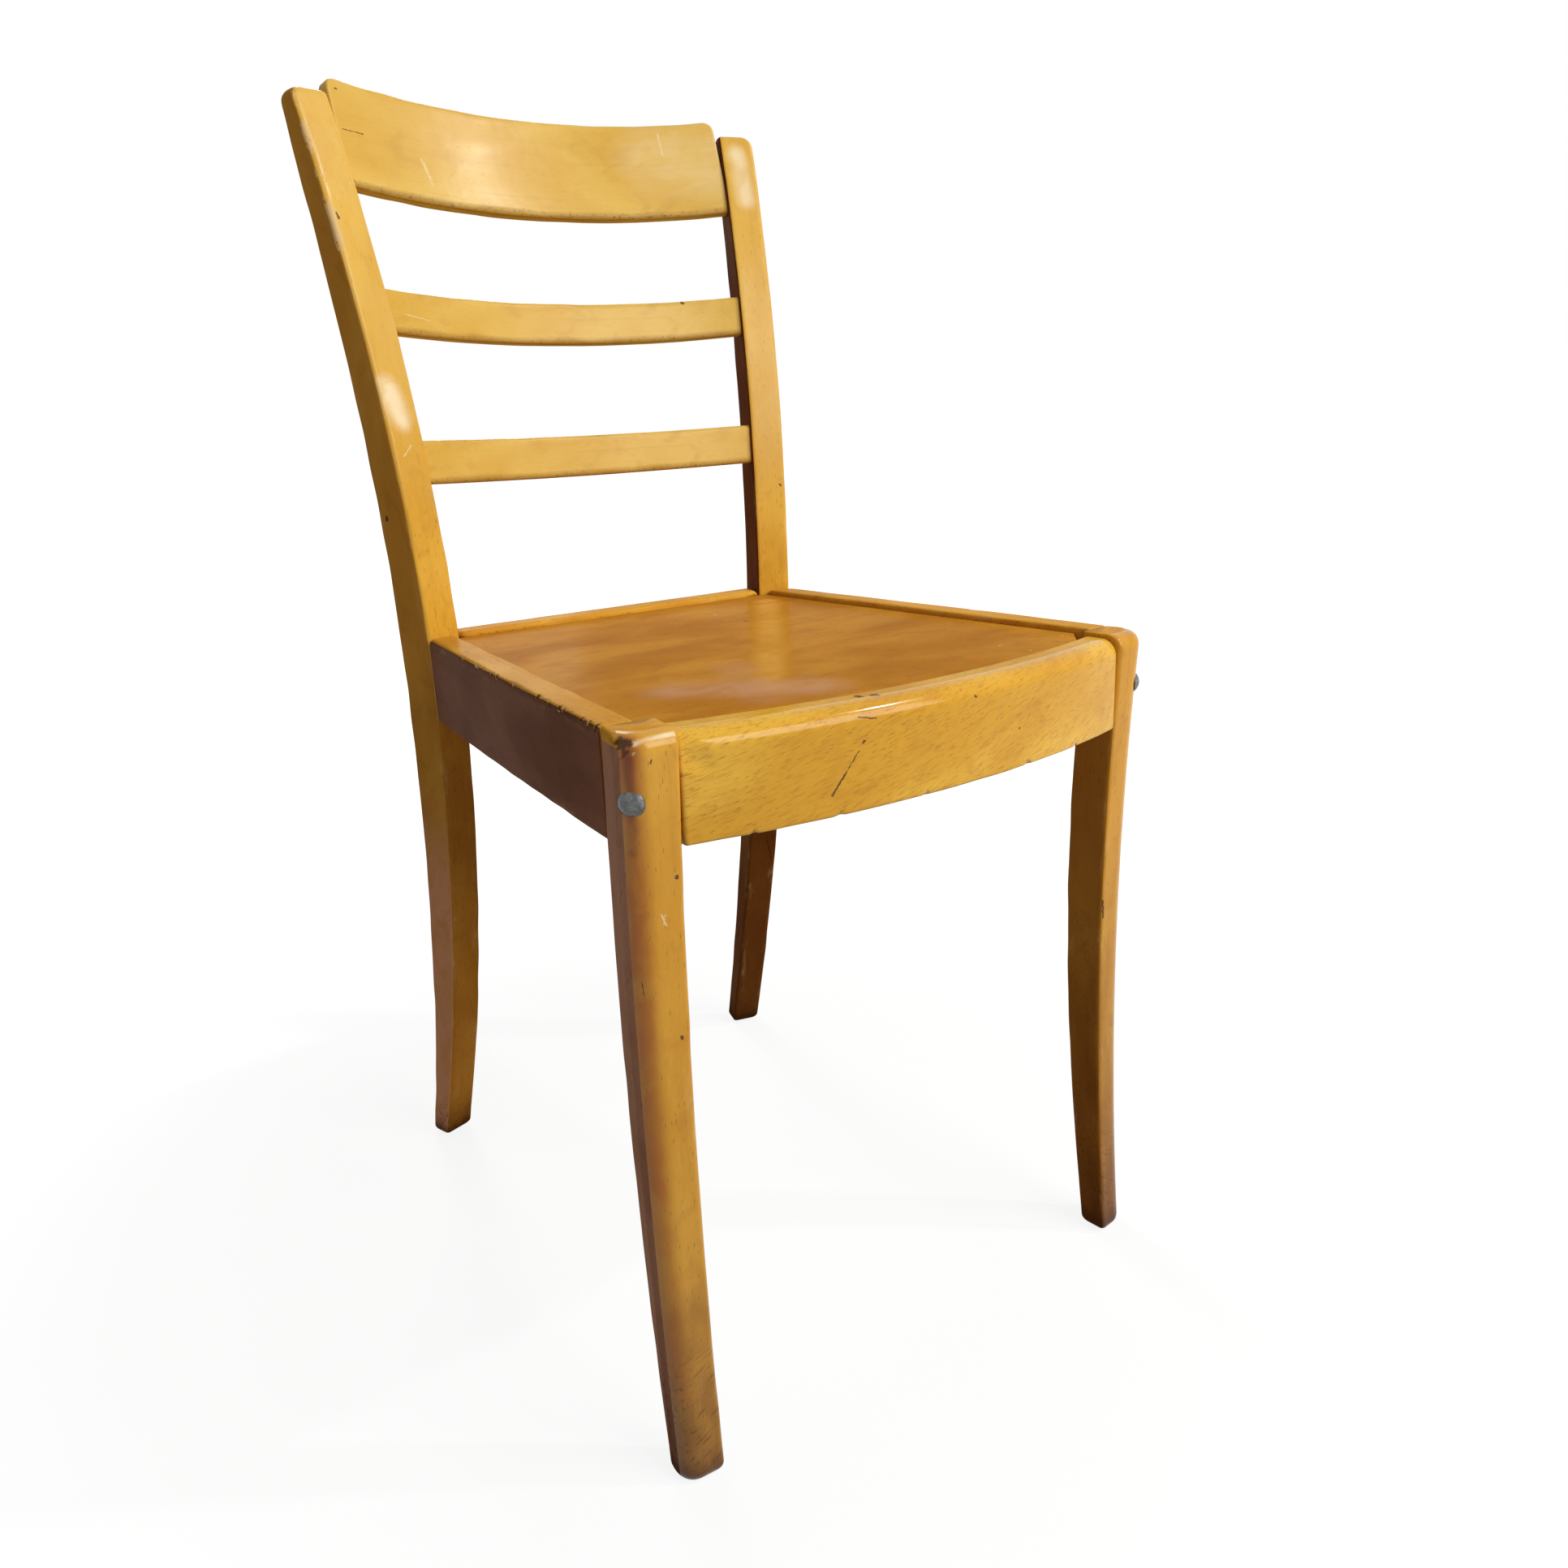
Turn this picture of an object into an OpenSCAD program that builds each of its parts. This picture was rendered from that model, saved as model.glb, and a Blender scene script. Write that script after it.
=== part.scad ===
// Wooden cafe chair: sabre posts and legs, three curved back slats, plywood seat.
// Frame: floor at z = 0, origin under the middle of the chair, front towards -Y.

/* [Overall] */
// height of the crest rail's top edge at its ends above the floor
back_h = 833; // [700:1:1000]
// height of the top of the side and rear seat rails above the floor
seat_h = 456; // [400:1:520]
// width over the outer corners of the front legs at seat height
front_w = 399; // [320:1:520]
// width over the outer corners of the rear posts at seat height
rear_w = 324; // [260:1:460]
// distance from the front leg corner back to the rear post's front face
seat_depth = 357; // [280:1:460]

/* [Rear posts] */
// width of a rear post seen from the front
post_w = 28; // [22:0.5:36]
// width of a rear post at the foot
post_foot_w = 26; // [20:0.5:34]
// depth of a rear post at seat height
post_t = 35; // [28:0.5:42]
// depth of a rear post at the foot
post_foot_t = 20; // [16:0.5:30]
// depth of a rear post at its top end
post_top_t = 17; // [14:0.5:30]
// turn of each post's section about the vertical, so that its face follows the curved back
post_turn = 16.5; // [0:0.5:25]
// how far the foot is kicked back behind the post's face at the seat
foot_kick = 88.5; // [20:0.5:130]
// how far the post's top leans back behind its face at the seat
top_lean = 68; // [20:0.5:120]
// outward lean of the post below the seat, over its lower length
post_splay_low = 18; // [0:0.5:40]
// outward lean of the post above the seat
post_splay_top = 5; // [0:0.5:40]
// drop of the post tops below the crest rail's top edge
post_drop = 12; // [0:0.5:30]
// radius of the rounded outer corner on top of each post
post_top_r = 9; // [2:0.5:12]
// radius of the rounding at the back of each post's top
post_back_r = 12; // [2:0.5:15]

/* [Front legs] */
// width of a front leg at seat height
leg_w = 32; // [24:0.5:40]
// width of a front leg at the foot
leg_foot_w = 28.5; // [20:0.5:38]
// depth of a front leg at seat height
leg_t = 30.5; // [24:0.5:40]
// depth of a front leg at the foot
leg_foot_t = 20; // [16:0.5:34]
// turn of each front leg's face about the vertical, towards the side
leg_turn = 5; // [0:0.5:12]
// turn of each front leg's outer side face about the vertical
leg_side_turn = 9; // [2:0.5:15]
// radius of the forward sabre bend of the front legs
leg_bend_r = 2690; // [1500:10:6000]
// height at which the front leg's face stands straight upright
leg_bend_z = 261; // [150:1:350]
// radius of the rounded outer front corner of each front leg
leg_corner_r = 14; // [4:0.5:16]
// radius of the rounded top front edge of each front leg
leg_top_r = 10; // [3:0.5:14]
// rounding under all four feet
foot_r = 5; // [1:0.5:8]

/* [Seat frame] */
// height of the side and rear seat rails
rail_h = 61; // [40:1:90]
// thickness of the side rails
side_rail_t = 27; // [20:0.5:34]
// width of the side rail's top beside the panel
side_land = 19.5; // [12:0.5:24]
// thickness of the rear rail
rear_rail_t = 21; // [14:0.5:26]
// height of the front rail
front_rail_h = 60; // [40:1:90]
// thickness of the bowed front rail
front_rail_t = 30; // [22:0.5:36]
// width of the front rail's top in front of the panel
front_land = 23.5; // [12:0.5:26]
// forward bow of the front rail's face between the legs
front_bow = 21.5; // [5:0.5:45]
// set-back of the front rail's ends behind the legs' faces
front_set = 3; // [0:0.5:8]
// radius of the round-over along the front rail's top edge
front_round_r = 12; // [3:0.5:14]
// radius on the top edges of the side and rear rails
rail_round_r = 3; // [1:0.5:6]
// step from the rail tops down to the seat panel
panel_drop = 4; // [1:0.5:8]
// thickness of the plywood seat panel
panel_t = 8; // [5:0.5:12]
// clearance round the seat panel in its rabbet
panel_gap = 0.3; // [0.1:0.1:1]
// cut across the panel's front corners, inside each leg
panel_corner_cut = 25; // [5:0.5:40]

/* [Back slats] */
// thickness of the crest rail
crest_t = 10; // [7:0.5:16]
// height of the crest rail, measured along the lean
crest_h = 75; // [50:1:100]
// radius of the crest rail's rounded top corners
crest_corner_r = 8; // [2:0.5:14]
// thickness of the two lower slats
slat_t = 10; // [7:0.5:14]
// height of the two lower slats
slat_h = 30.5; // [20:0.5:45]
// height of the middle slat's centre above the floor
middle_z = 680; // [600:1:740]
// height of the lower slat's centre above the floor
lower_z = 577.5; // [520:1:620]
// backward curve of the crest rail and middle slat
slat_sag = 28; // [10:0.5:40]
// backward curve of the lower slat
lower_sag = 20; // [5:0.5:40]
// set-back of the slats behind the posts' front edge
slat_set = 4; // [1:0.5:8]
// length of the tenons at the slats' ends
tenon_len = 14; // [8:0.5:18]
// thickness of the tenons
tenon_t = 6; // [4:0.5:8]
// shoulder above and below each tenon
tenon_shoulder = 5; // [2:0.5:10]
// clearance round a tenon in its mortise
tenon_gap = 0.1; // [0.05:0.05:0.3]

/* [Fastenings] */
// diameter of the domed bolt head on each front leg
bolt_head_d = 15; // [12:0.5:20]
// height of the dome
bolt_head_h = 4.5; // [2.5:0.5:6]
// diameter of the bolt's shank
bolt_d = 6; // [5:1:8]
// depth of the bolt below the rail tops
bolt_drop = 35; // [26:1:40]
// depth to which the head is pulled into the leg's round corner
bolt_sink = 1.2; // [0.5:0.1:2]
// clearance round bolts, screws and dowels in their holes
hole_gap = 0.15; // [0.1:0.05:0.4]
// diameter of the dowels that join the seat rails
dowel_d = 8; // [6:1:10]
// how far a dowel reaches into a post or leg
dowel_in = 12; // [8:0.5:14]
// how far a dowel reaches into a rail
dowel_out = 22; // [15:1:30]
// height of the front corner blocks
block_h = 36; // [25:1:44]
// distance from the leg's corner to the block's long face, along the bolt
block_reach = 58; // [50:1:70]
// diameter of the block screws
screw_d = 4; // [3:0.5:5]
// length of the block screws
screw_len = 24; // [18:1:30]
// air left at each glued joint
joint_gap = 0.1; // [0.05:0.05:0.3]

/* [Hidden] */

beech = [0.82, 0.62, 0.26];
beech_pale = [0.88, 0.72, 0.38];
ply = [0.68, 0.47, 0.22];
inner_wood = [0.74, 0.58, 0.34];
grey_metal = [0.5, 0.5, 0.49];

far = 900;                       // reach of the cutting prisms
edge_r = 1;                      // rounding of the rails' lower edges
end_rise = 0.1;                  // keeps a rail's end rounding from running out tangent
n_side = 28;                     // steps along each sabre curve
post_h = back_h - post_drop;
d_low = seat_h;                  // length of the post below the seat rail's top
d_top = post_h - seat_h;         // length above it

// corner positions seen from above
post_x = rear_w/2 - post_w*cos(post_turn);                 // inner front edge
leg_x = front_w/2;                                         // outer front corner
foot_front = -seat_depth - leg_foot_w*sin(leg_turn)
             + leg_v(0)*cos(leg_turn);
bow_front = -seat_depth - leg_w*sin(leg_turn) + front_set - front_bow;
front_most = min(foot_front, bow_front);
foot_back = (post_v(foot_r) + post_depth(foot_r))*cos(post_turn)
            - post_u(foot_r)*sin(post_turn);
y_mid = (front_most + foot_back)/2;
post_y = -y_mid;                                           // post face at the seat
leg_y = post_y - seat_depth;                               // leg corner at the seat

// post's front face behind its place at the seat, at height z (own axes)
function post_v(z) = z < seat_h
    ? let(s = (seat_h - z)/seat_h) foot_kick*(0.22*s + 0.78*s*s)
    : let(s = (z - seat_h)/d_top) top_lean*(0.1*s + 0.9*s*s);
function post_depth(z) = z < seat_h
    ? post_foot_t + (post_t - post_foot_t)*sin(90*z/seat_h)
    : let(s = (z - seat_h)/d_top)
      post_t - (post_t - post_top_t)*(0.55*s + 0.45*pow(s, 5));
function post_u(z) = z < seat_h ? -post_splay_low*(seat_h - z)/seat_h
    : post_splay_top*sin(90*(z - seat_h)/d_top);
function post_width(z) = z < seat_h ? post_foot_w + (post_w - post_foot_w)*z/seat_h : post_w;
// inner front edge of a post, in the chair's axes
function post_in_x(z) = post_x + post_u(z)*cos(post_turn) + post_v(z)*sin(post_turn);
function post_in_y(z) = post_y - post_u(z)*sin(post_turn) + post_v(z)*cos(post_turn);
// sabre bend of the front leg's face
function bend(z) = leg_bend_r - sqrt(leg_bend_r*leg_bend_r - pow(z - leg_bend_z, 2));
function leg_v(z) = bend(seat_h) - bend(z);
function leg_depth(z) = leg_foot_t + (leg_t - leg_foot_t)*sin(90*min(1, z/(seat_h*0.75)));
function leg_width(z) = leg_foot_w + (leg_w - leg_foot_w)*z/seat_h;

zs_low = [for (i = [0:n_side - 1]) seat_h*i/n_side];
zs_top = [for (i = [0:n_side]) seat_h + (post_h - seat_h)*i/n_side];
zs = concat(zs_low, zs_top);

// side rail's outer line, from the post's outer corner to the leg's outer back corner
rail_a = [rear_w/2, post_y - post_w*sin(post_turn)];
skew = leg_side_turn - leg_turn;          // the leg's section is that much off square
rail_b = [leg_x - leg_t*tan(skew)*cos(leg_turn) - leg_t*sin(leg_turn),
          leg_y - leg_t*tan(skew)*sin(leg_turn) + leg_t*cos(leg_turn)];
corner_c = leg_corner_r*(1/cos(skew) + tan(skew));   // centre of the round corner
rail_ang = atan((rail_b[0] - rail_a[0])/(rail_a[1] - rail_b[1]));
function rail_x(y) = rail_a[0] + (rail_a[1] - y)*tan(rail_ang);

// front rail's bow
rail_end = [leg_x - leg_w*cos(leg_turn), leg_y - leg_w*sin(leg_turn) + front_set];
front_r = (rail_end[0]*rail_end[0] + front_bow*front_bow)/(2*front_bow);
front_cy = rail_end[1] - front_bow + front_r;              // centre of the bow
front_top = seat_h - panel_drop + 1.5;
panel_z = seat_h - panel_drop - panel_t;                   // underside of the panel
bolt_z = seat_h - bolt_drop;
bolt_in = leg_corner_r - bolt_sink;                        // underside of the head

// ---------------------------------------------------------------- helpers
// extrudes a (v, z) outline across u, from u0 to u1
module across(u0, u1) {
    translate([u0, 0, 0]) rotate([90, 0, 90]) linear_extrude(u1 - u0) children();
}
// extrudes a (u, z) outline along v, from v0 to v1
module along(v0, v1) {
    translate([0, v1, 0]) rotate([90, 0, 0]) linear_extrude(v1 - v0) children();
}
module both() { children(); mirror([1, 0, 0]) children(); }
module side(s) { if (s > 0) children(); else mirror([1, 0, 0]) children(); }
// rectangle with its own radius at the bottom corners and at each top corner
module soft_rect(w, h, rb_left, rb_right, r_left, r_right) {
    difference() {
        square([w, h]);
        if (rb_left > 0) bite(0, 0, 1, 1, rb_left);
        bite(w, 0, -1, 1, rb_right);
        bite(0, h, 1, -1, r_left);
        bite(w, h, -1, -1, r_right);
    }
}
// the waste outside a rounded corner at (x, y); sx, sy point into the solid
module bite(x, y, sx, sy, r) {
    translate([x, y]) scale([sx, sy]) difference() {
        translate([-1, -1]) square([r + 1, r + 1]);
        translate([r, r]) circle(r = r, $fn = 48);
    }
}

// ---------------------------------------------------------------- rear posts
module at_post() { translate([post_x, post_y, 0]) rotate([0, 0, -post_turn]) children(); }
module post_side_outline() {
    difference() {
        polygon(concat(
            [for (z = zs) [post_v(z), z]],
            [for (i = [len(zs) - 1:-1:0]) [post_v(zs[i]) + post_depth(zs[i]), zs[i]]]));
        bite(post_v(0), 0, 1, 1, foot_r);
        bite(post_v(0) + post_depth(0), 0, -1, 1, foot_r);
        bite(post_v(post_h) + post_depth(post_h), post_h, -1, -1, post_back_r);
    }
}
module post_front_outline() {
    difference() {
        polygon([[post_u(0), 0], [post_u(0) + post_width(0), 0],
            for (z = zs_top) [post_u(z) + post_width(z), z],
            for (i = [n_side:-1:0]) [post_u(zs_top[i]), zs_top[i]]]);
        bite(post_u(0), 0, 1, 1, foot_r);
        bite(post_u(0) + post_width(0), 0, -1, 1, foot_r);
        bite(post_u(post_h) + post_width(post_h), post_h, -1, -1, post_top_r);
        bite(post_u(post_h), post_h, 1, -1, 2);
    }
}
// everything outside the post's inner side face, moved inwards by g
module outside_post(g) {
    at_post() along(-far, far) polygon([[post_u(-50) - g, -50],
        for (z = zs_top) [post_u(z) - g, z], [post_u(post_h) - g, far*2],
        [far, far*2], [far, -50]]);
}
// everything behind the post's front face, moved forwards by g
module behind_post(g) {
    at_post() across(-far, far) polygon([for (z = zs) [post_v(z) - g, z],
        [far, post_h], [far, 0]]);
}
module rear_post(s) {
    color(beech) side(s) difference() {
        intersection() {
            at_post() across(-60, 60) post_side_outline();
            at_post() along(-60, 200) post_front_outline();
        }
        crest_tenons(tenon_gap);
        slat_tenons(middle_z, slat_sag, tenon_gap);
        slat_tenons(lower_z, lower_sag, tenon_gap);
        side_dowels(hole_gap);
        rear_dowels(hole_gap);
    }
}

// ---------------------------------------------------------------- front legs
module at_leg() { translate([leg_x, leg_y, 0]) rotate([0, 0, leg_turn]) children(); }
// the section swept round the sabre bend; local x outwards, y back
module leg_sweep(w, t, r) {
    v0 = bend(seat_h);
    ang = asin((seat_h + 120)/leg_bend_r);
    translate([0, v0 - leg_bend_r, leg_bend_z]) rotate([0, 90, 0]) rotate([0, 0, 90])
        rotate([0, 0, -ang]) rotate_extrude(angle = 2*ang, $fn = 720)
            translate([leg_bend_r, 0]) difference() {
                polygon([[0, 0], [t, -t*tan(skew)], [t, -w], [0, -w]]);
                difference() {
                    polygon([[r, -corner_c], [-1, -corner_c], [-1, 5],
                        [r + (r + 5)*sin(skew), -corner_c + (r + 5)*cos(skew)]]);
                    translate([r, -corner_c]) circle(r = r, $fn = 64);
                }
            }
}
module leg_side_outline() {
    zz = [for (i = [0:20]) seat_h*i/20];
    difference() {
        polygon(concat([[-30, 0]], [for (z = zz) [leg_v(z) + leg_depth(z), z]],
            [[-30, seat_h]]));
        bite(leg_v(0), 0, 1, 1, foot_r);
        bite(leg_v(0) + leg_depth(0), 0, -1, 1, foot_r);
        bite(0, seat_h, 1, -1, leg_top_r);
    }
}
module leg_front_outline() {
    difference() {
        polygon([[-leg_width(0), 0], [0, 0], [0, seat_h], [-leg_w, seat_h]]);
        bite(-leg_width(0), 0, 1, 1, foot_r);
        bite(0, 0, -1, 1, foot_r);
        bite(0, seat_h, -1, -1, rail_round_r);
    }
}
module leg_block() {
    at_leg() intersection() {
        leg_sweep(leg_w, leg_t + 12, leg_corner_r);
        across(-60, 10) leg_side_outline();
        along(-40, 60) leg_front_outline();
    }
}
// everything outside the leg's inner side face, and everything ahead of its back face
module outside_leg(g) {
    at_leg() along(-far, far) polygon([[-leg_width(0) - g, 0], [far, 0],
        [far, far], [-leg_width(far) - g, far]]);
}
module ahead_of_leg(g) {
    at_leg() across(-far, far) polygon([[-far, 0], [leg_depth(0) + leg_v(0) + g, 0],
        for (i = [1:20]) [leg_v(seat_h*i/20) + leg_depth(seat_h*i/20) + g, seat_h*i/20],
        [leg_v(seat_h) + leg_depth(seat_h) + g, seat_h + 40], [-far, seat_h + 40]]);
}
module front_leg(s) {
    color(beech) side(s) difference() {
        leg_block();
        panel_room();
        bolt_hole();
        side_dowels(hole_gap);
        front_dowels(hole_gap);
    }
}

// ---------------------------------------------------------------- seat rails
module at_side_rail() {
    translate([rail_a[0], rail_a[1], 0]) rotate([0, 0, rail_ang]) children();
}
module side_rail_bar() {
    long = seat_depth + 120;
    at_side_rail() {
        translate([0, 60, seat_h - rail_h]) rotate([90, 0, 0]) linear_extrude(long)
            translate([-side_rail_t, 0])
                soft_rect(side_rail_t, rail_h, edge_r, edge_r, rail_round_r, rail_round_r);
    }
}
module side_rail(s) {
    color(beech) side(s) difference() {
        side_rail_bar();
        behind_post(joint_gap);
        translate([-far, post_y - joint_gap, 0]) cube([2*far, far, far]);
        at_post() across(-80, 80) bite(-joint_gap, seat_h + end_rise, -1, -1, 2*rail_round_r);
        ahead_of_leg(joint_gap);
        panel_room();
        bolt_hole();
        side_dowels(hole_gap);
        block_screw_holes();
    }
}
module rear_rail() {
    color(beech) difference() {
        translate([-far/2, post_y, seat_h - rail_h]) rotate([90, 0, 90]) linear_extrude(far)
            soft_rect(rear_rail_t, rail_h, edge_r, edge_r, rail_round_r, rail_round_r);
        both() {
            outside_post(joint_gap);
            at_post() along(-80, 80)
                bite(post_u(seat_h) - joint_gap, seat_h + end_rise, -1, -1, 2*rail_round_r);
            rear_dowels(hole_gap);
        }
    }
}
module front_rail() {
    color(beech) difference() {
        translate([0, front_cy, front_top - front_rail_h]) intersection() {
            rotate_extrude($fn = 360) translate([front_r - front_rail_t, 0])
                soft_rect(front_rail_t, front_rail_h, 0, edge_r, edge_r, front_round_r);
            translate([-far/2, -far - front_r + 200, -10]) cube([far, far, 200]);
        }
        both() outside_leg(joint_gap);
        panel_room();
        both() { front_dowels(hole_gap); block_screw_holes(); bolt_hole(); }
    }
}

// ---------------------------------------------------------------- seat panel
module panel_outline(g) {
    x_back = rail_x(post_y) - side_land/cos(rail_ang);
    ahead = leg_y - 60;
    x_front = rail_x(ahead) - side_land/cos(rail_ang);
    cut_y = leg_y + leg_t*cos(leg_turn);
    x_cut = rail_x(cut_y) - side_land/cos(rail_ang);
    intersection() {
        polygon([[-x_back - g, post_y + g], [x_back + g, post_y + g],
            [x_front + g, ahead], [-x_front - g, ahead]]);
        translate([0, front_cy]) circle(r = front_r - front_land + g, $fn = 360);
        polygon([[-far, cut_y + 12 + g + 500], [far, cut_y + 12 + g + 500],
            [x_cut + 500, cut_y + 12 + g + 500], [x_cut + g, cut_y + 12 + g],
            [x_cut + g - panel_corner_cut, cut_y + 12 + g - panel_corner_cut],
            [x_cut + g - panel_corner_cut, leg_y - far],
            [-x_cut - g + panel_corner_cut, leg_y - far],
            [-x_cut - g + panel_corner_cut, cut_y + 12 + g - panel_corner_cut],
            [-x_cut - g, cut_y + 12 + g], [-x_cut - 500, cut_y + 12 + g + 500]]);
    }
}
module panel_room() { translate([0, 0, panel_z]) linear_extrude(80) panel_outline(0); }
module seat_panel() {
    color(ply) difference() {
        translate([0, 0, panel_z]) linear_extrude(panel_t) panel_outline(-panel_gap);
        both() behind_post(panel_gap);
    }
}

// ---------------------------------------------------------------- back slats
// a board bent to a backward curve, leaning with the posts
module slat_board(zc, h, t, sag, drop, shoulder, g) {
    x0 = post_in_x(zc);
    lean = atan((post_in_y(zc + 30) - post_in_y(zc - 30))/60);
    r = (x0*x0 + sag*sag)/(2*sag);
    translate([0, post_in_y(zc) + slat_set, zc]) rotate([-lean, 0, 0])
        translate([0, sag - r, -h/2 + shoulder - g]) intersection() {
            difference() {
                cylinder(r = r + drop + t + g, h = h - 2*shoulder + 2*g, $fn = 360);
                translate([0, 0, -1]) cylinder(r = r + drop - g, h = h + 2, $fn = 360);
            }
            translate([-x0 - 60, 0, -10]) cube([2*x0 + 120, far, h + 20]);
        }
}
module slat_tenon_bar(zc, h, t, sag, g) {
    difference() {
        slat_board(zc, h, tenon_t, sag, (t - tenon_t)/2, tenon_shoulder, g);
        both() at_post() translate([0, 0, 0]) along(-far, far)
            polygon([[post_u(zc) + tenon_len + 3*g, 0], [far, 0], [far, far],
                [post_u(zc) + tenon_len + 3*g, far]]);
    }
}
crest_lean = atan((post_in_y(back_h - 8) - post_in_y(back_h - 68))/60);
crest_z = back_h - crest_h*cos(crest_lean)/2;
module crest_tenons(g) { slat_tenon_bar(crest_z, crest_h - 12, crest_t, slat_sag, g); }
module slat_tenons(zc, sag, g) { slat_tenon_bar(zc, slat_h, slat_t, sag, g); }
module crest_rail() {
    x_top = post_in_x(post_h) - joint_gap;
    r = crest_corner_r;
    color(beech_pale) union() {
        intersection() {
            difference() {
                slat_board(crest_z, crest_h, crest_t, slat_sag, 0, 0, 0);
                both() outside_post(joint_gap);
            }
            along(-far, far) difference() {
                square([far, 2*back_h + 20], center = true);
                both2() translate([x_top, back_h - 0.5]) difference() {
                    translate([-r, -r]) square([far, far]);
                    translate([-r, -r]) circle(r = r, $fn = 48);
                    translate([-far - r, -far]) square([far, far]);
                }
            }
        }
        crest_tenons(0);
    }
}
module both2() { children(); mirror([1, 0]) children(); }
module back_slat(zc, sag) {
    color(beech_pale) union() {
        difference() {
            slat_board(zc, slat_h, slat_t, sag, 0, 0, 0);
            both() outside_post(joint_gap);
        }
        slat_tenons(zc, sag, 0);
    }
}

// ---------------------------------------------------------------- dowels
module peg(d, l) { translate([0, 0, 0.01]) cylinder(d = d, h = l - 0.02, $fn = 32); }
module side_dowels(g) {
    xm = -side_land/2;
    for (dz = [13, 41]) translate([0, 0, seat_h - dz]) {
        // at the post
        at_side_rail() translate([xm, rear_in + g, 0]) rotate([90, 0, 0])
            peg(dowel_d + 2*g, dowel_in + dowel_out + 2*g);
        // at the leg
        at_side_rail() translate([xm, -side_len + dowel_out + g, 0]) rotate([90, 0, 0])
            peg(dowel_d + 2*g, dowel_in + dowel_out + 2*g);
    }
}
side_len = (rail_a[1] - rail_b[1])/cos(rail_ang) - side_land/2*tan(leg_turn - rail_ang);
rear_in = dowel_in + side_land/2*tan(post_turn + rail_ang);
module rear_dowels(g) {
    for (dz = [29, 52])
        translate([post_in_x(seat_h - dz) + dowel_in + g + rear_rail_t/2*tan(post_turn),
            post_y + rear_rail_t/2, seat_h - dz]) rotate([0, -90, 0])
            peg(dowel_d + 2*g, dowel_in + dowel_out + 2*g);
}
module front_dowels(g) {
    yc = rail_end[1] + front_land/2 - 1;
    for (dz = [24, 54])
        translate([rail_end[0] + dowel_in - 2 + g, yc, seat_h - dz]) rotate([0, -90, 0])
            peg(dowel_d + 2*g, dowel_in - 2 + dowel_out + 2*g);
}
module rail_dowels() {
    color(inner_wood) both() { side_dowels(0); rear_dowels(0); front_dowels(0); }
}

// ---------------------------------------------------------------- bolts and blocks
// frame on the leg's round corner: +z runs inwards along the bolt, z = 0 at the head's underside
module at_bolt() {
    at_leg() translate([-corner_c, leg_corner_r + leg_v(bolt_z), bolt_z])
        rotate([0, 0, 135]) translate([-bolt_in, 0, 0]) rotate([0, 90, 0]) children();
}
bolt_face = block_reach + bolt_in - leg_corner_r*0.4;      // block's long face, along the bolt
washer_t = 1.5;
nut_t = 5;
module bolt_hole() {
    at_bolt() {
        translate([0, 0, -1]) cylinder(d = bolt_d + 2*hole_gap, h = 200, $fn = 32);
        translate([0, 0, -20]) cylinder(d = bolt_head_d + 2*hole_gap, h = 20, $fn = 48);
    }
}
module leg_bolt(s) {
    rs = (pow(bolt_head_d/2, 2) + bolt_head_h*bolt_head_h)/(2*bolt_head_h);
    color(grey_metal) side(s) at_bolt() {
        intersection() {
            translate([0, 0, rs - bolt_head_h]) sphere(r = rs, $fn = 64);
            translate([0, 0, -bolt_head_h - 1]) cylinder(d = 40, h = bolt_head_h + 1, $fn = 64);
        }
        cylinder(d = bolt_d, h = bolt_face + washer_t + nut_t + 4, $fn = 32);
    }
}
module bolt_washers() {
    color(grey_metal) both() at_bolt() translate([0, 0, bolt_face]) difference() {
        cylinder(d = bolt_d*2.6, h = washer_t, $fn = 48);
        translate([0, 0, -1]) cylinder(d = bolt_d + 2*hole_gap, h = washer_t + 2, $fn = 32);
    }
}
module bolt_nuts() {
    color(grey_metal) both() at_bolt() translate([0, 0, bolt_face + washer_t]) difference() {
        cylinder(d = bolt_d*1.92, h = nut_t, $fn = 6);
        translate([0, 0, -1]) cylinder(d = bolt_d + 2*hole_gap, h = nut_t + 2, $fn = 32);
    }
}
module corner_block(s) {
    bz = bolt_z - block_h/2;
    color(inner_wood) side(s) difference() {
        at_bolt() rotate([0, -90, 0]) translate([bolt_face - 60, -80, -block_h/2])
            cube([60, 160, block_h]);
        // leave only what lies inside the leg, the side rail and the front rail
        translate([0, 0, bz - 1]) linear_extrude(block_h + 2) block_waste();
        bolt_hole();
        block_screw_holes();
    }
}
module block_waste() {
    g = joint_gap;
    // beyond the side rail's inner face
    translate(rail_a) rotate(rail_ang) translate([-side_rail_t - g, -far]) square([far, 2*far]);
    // beyond the front rail's inner face
    translate([0, front_cy]) difference() {
        circle(r = far + front_r, $fn = 90);
        circle(r = front_r - front_rail_t - g, $fn = 360);
    }
    // the leg itself
    translate([leg_x, leg_y]) rotate(leg_turn)
        translate([-leg_w - g, -60]) square([leg_w + 60, 60 + leg_t + leg_v(bolt_z) + 1 + g]);
}
module at_screws() {
    for (a = [-1, 1]) at_bolt() translate([0, a*17, bolt_face - 3.5]) rotate([0, 180, 0])
        rotate([-a*45, 0, 0]) children();
}
module block_screw_holes() {
    at_screws() {
        translate([0, 0, -1]) cylinder(d = screw_d + 2*hole_gap, h = screw_len + 1.5, $fn = 24);
        translate([0, 0, -30]) cylinder(d = screw_d*2 + 2*hole_gap, h = 30.1, $fn = 32);
    }
}
module block_screws() {
    color(grey_metal) both() at_screws() {
        translate([0, 0, -2.4]) cylinder(d = screw_d*2, h = 2.4, $fn = 32);
        cylinder(d = screw_d, h = screw_len, $fn = 24);
    }
}

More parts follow.
